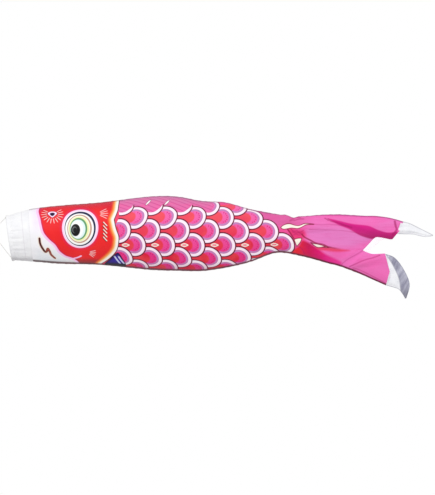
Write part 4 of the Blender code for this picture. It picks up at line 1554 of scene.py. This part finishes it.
# %% [markdown]
# ## The white tips
#
# Each lobe ends in a tip of plain white cloth. The upper one narrows to a point, and the lower one
# curls down and round in the wind, which turns its back edge into shade; that shade is painted into the
# tip's colour.
# %% The tips
TIPS = {  # the sewn edge and the free edge, front to back
    "upper": (
        ((916, 39.5), (923, 38.2), (938, 34), (962, 22), (982, 12), (991, 7.5)),
        ((905, 9), (912, 9.5), (926, 9), (944, 8.5), (971, 3), (990, 5)),
    ),
    "lower": (
        ((876, -108), (882, -111), (896, -115), (910, -120), (920, -132), (925, -141.5)),
        ((872, -37), (878, -37), (901, -46), (922, -73), (936, -108), (928, -141)),
    ),
}
# The curled strip of the lower tip, which is painted grey as shade.
CURL = (
    (878, -32), (901, -40), (926, -68), (942, -108), (930, -148), (917, -130), (911, -95), (896, -62),
)
TIP_SHAPES = {"curl": ([smooth_line(CURL, closed=True)], True)}
for lobe, (sewn, free) in TIPS.items():
    for side, word in SIDES:
        columns, count = round(70 / step) + 1, round(100 / step) + 1
        share = np.linspace(0, 1, columns)[None, :, None]
        t = np.linspace(0, 1, count)
        edges = []
        for line in (sewn, free):
            smooth = smooth_line(line)
            spots = np.linspace(0, 1, len(smooth))
            edges.append(np.stack([np.interp(t, spots, smooth[:, k]) for k in (0, 1)], axis=-1))
        flat = edges[0][:, None] * (1 - share) + edges[1][:, None] * share
        width = np.linalg.norm(edges[1] - edges[0], axis=-1)[:, None]
        u, h, share = flat[..., 0], flat[..., 1], share[..., 0]
        t = np.repeat(t[:, None], columns, axis=1)
        bulge = 9.2 * (1 - t) + 2.0 * t
        y = bulge * np.sin(math.pi * np.broadcast_to(share, u.shape) ** 0.8 * 0.83)
        waves = 1.5 * np.sin(share * 11 + t * 5 + side) + 1.1 * np.sin(share * 5 - t * 13)
        y = y + waves * (1 - 0.6 * t)
        y = np.maximum(y * eased(share, 0, 0.14), 0.0) + 0.25
        if lobe == "lower":
            y = y + (6.0 * eased(share, 0.55, 1.0) * eased(t, 0.05, 0.5)) * (-0.6 if side < 0 else 1)
            y = np.maximum(y, 0.3)
        places = np.stack([mouth.x + u * MM, side * y * MM, mouth.z + h * MM], axis=-1)
        piece = make_cloth(
            f"{lobe}_tip_cloth_{word}", places, flat, flat, FINISHES["tip"], TIP_SHAPES,
            (side > 0) == (lobe == "upper"), np.minimum(share, 1 - share) * width + (t < 0.12) * 9,
        )
        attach(piece, f"{lobe}_lobe")
        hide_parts(f"{lobe}_white_tip_{word}")
        min(grid_area(places), 0.999 * math.prod(flat_size(places)))
    print(lobe, "tip cut", [round(1000 * x) for x in flat_size(places)], "mm a side")
# %% [markdown]
# ## The metal parts
#
# The snap hook, its gate and spring, the swivel eye and the bridle ring are nickel-plated wire. Plating
# shows fine draw lines, a slightly clouded shine, and wear to a warmer metal where parts rub. The hoop
# is white-coated spring wire, joined with a crimped steel sleeve.
# %% Metal finishes
def metal_finish(name, colour, worn, rough, lines):
    """Bare or plated wire: clouded, worn warmer in places, and finely drawn along its length."""
    finish = Finish(name)
    place = finish.node("TexCoord").outputs["Object"]
    parts = finish.node("SeparateXYZ", (), {0: place})
    x, z = finish.field(parts, 0), finish.field(parts, 2)
    cloud = finish.noise(place, 240.0, 4.0)
    spots = finish.noise(place, 1400.0, 3.0)
    drawn = finish.noise(finish.vector(x * 160.0, z * lines), 1.0, 2.0)
    shade = finish.mottle(cloud, 3.0, 1.45, colour, worn)
    shade = finish.mix(finish.clamped(spots * 5.0 - 3.2) * 0.5, shade, linear(120, 116, 110))
    gloss = cloud * 0.22 + drawn * 0.10 + (rough - 0.12)
    return finish.finish_with(shade, gloss, drawn + spots * 0.4, 0.02 * MM, 0.5, Metallic=1.0)


def coated_wire_finish():
    """A white plastic coat, with a few grey nicks."""
    finish = Finish("white_coated_wire")
    place = finish.node("TexCoord").outputs["Object"]
    tone = finish.noise(place, 160.0, 3.0)
    nick = finish.noise(place, 900.0, 2.0)
    shade = finish.mottle(tone, 1.4, 0.2, linear(232, 232, 228), linear(250, 250, 248))
    shade = finish.mix(finish.clamped(nick * 9.0 - 6.2) * 0.7, shade, linear(150, 150, 150))
    return finish.finish_with(shade, tone * 0.2 + 0.26, nick, 0.04 * MM, 0.5, Coat_Weight=0.2)


PLATED = metal_finish("plated_steel", linear(214, 216, 220), linear(196, 188, 172), 0.24, 900.0)
SPRING = metal_finish("spring_steel", linear(176, 178, 184), linear(150, 144, 136), 0.34, 1500.0)
WIRE = coated_wire_finish()
CORD_KNOT = thread_finish("knotted_cord", linear(244, 243, 238))
CAD_FINISHES = {
    PLATED: ("hook_body", "hook_gate", "swivel_eye", "bridle_ring", "hoop_joiner"),
    SPRING: ("gate_pin", "gate_spring"),
    WIRE: ("mouth_hoop",),
    CORD_KNOT: ("bridle_knot", "upper_hoop_knot", "lower_hoop_knot"),
}
nodes_by_name = {o.name: o for o in bpy.data.objects if o.type == "MESH"}
for finish, nodes in CAD_FINISHES.items():
    for node in nodes:
        for slot in nodes_by_name[node].material_slots:
            slot.material = finish
print("finished", sum(len(nodes) for nodes in CAD_FINISHES.values()), "packed parts")
# %% [markdown]
# ## Floor and light
#
# A plain pale floor lies well below the streamer, and the light is that of a white studio: bright all
# round, with a large soft lamp above the camera that models the folds.
# %% Floor, lamps and surroundings
FLOOR_DROP = 0.86
bpy.ops.mesh.primitive_plane_add(size=2.6, location=(aim.x, 0, aim.z - FLOOR_DROP))
floor = bpy.context.object
floor.name = "studio_floor"
floor_finish = Finish("studio_floor")
floor_place = floor_finish.node("TexCoord").outputs["Object"]
floor_tone = floor_finish.noise(floor_place, 3.0, 2.0)
floor_shade = floor_finish.mix(floor_tone, linear(240, 240, 240), linear(248, 248, 248))
floor.data.materials.append(floor_finish.finish_with(floor_shade, floor_tone * 0.1 + 0.7))
floor.select_set(False)

WHITE_LIGHT = (1, 1, 1, 1)
STUDIO_LIGHT = 0.70  # what the white surroundings give, while the camera sees them fully white
world = bpy.data.worlds.new("white_studio")
world.use_nodes = True
studio = Graph(world.node_tree)
lit = studio.tree.nodes["Background"]
studio.put(lit.inputs["Color"], WHITE_LIGHT)
studio.put(lit.inputs["Strength"], STUDIO_LIGHT)
shown = studio.node("Background", (), {"Color": WHITE_LIGHT})
ray = studio.node("LightPath").outputs["Is Camera Ray"]
either = studio.node("MixShader", (), {0: ray, 1: lit.outputs[0], 2: shown.outputs[0]})
studio.put(studio.tree.nodes["World Output"].inputs[0], either.outputs[0])
bpy.context.scene.world = world
bpy.context.scene.view_settings.view_transform = "Standard"


def soft_lamp(name, place, watts, size):
    """A square lamp that faces the streamer's middle."""
    lamp = bpy.data.lights.new(name, "AREA")
    lamp.energy = watts
    lamp.size = size
    holder = placed(name, lamp)
    holder.location = aim + Vector(place)
    holder.rotation_euler = (-Vector(place)).to_track_quat("-Z", "Y").to_euler()


soft_lamp("key_lamp", (-0.9, -1.8, 1.9), 25.0, 1.2)
soft_lamp("fill_lamp", (1.6, -1.6, 0.5), 7.0, 1.4)
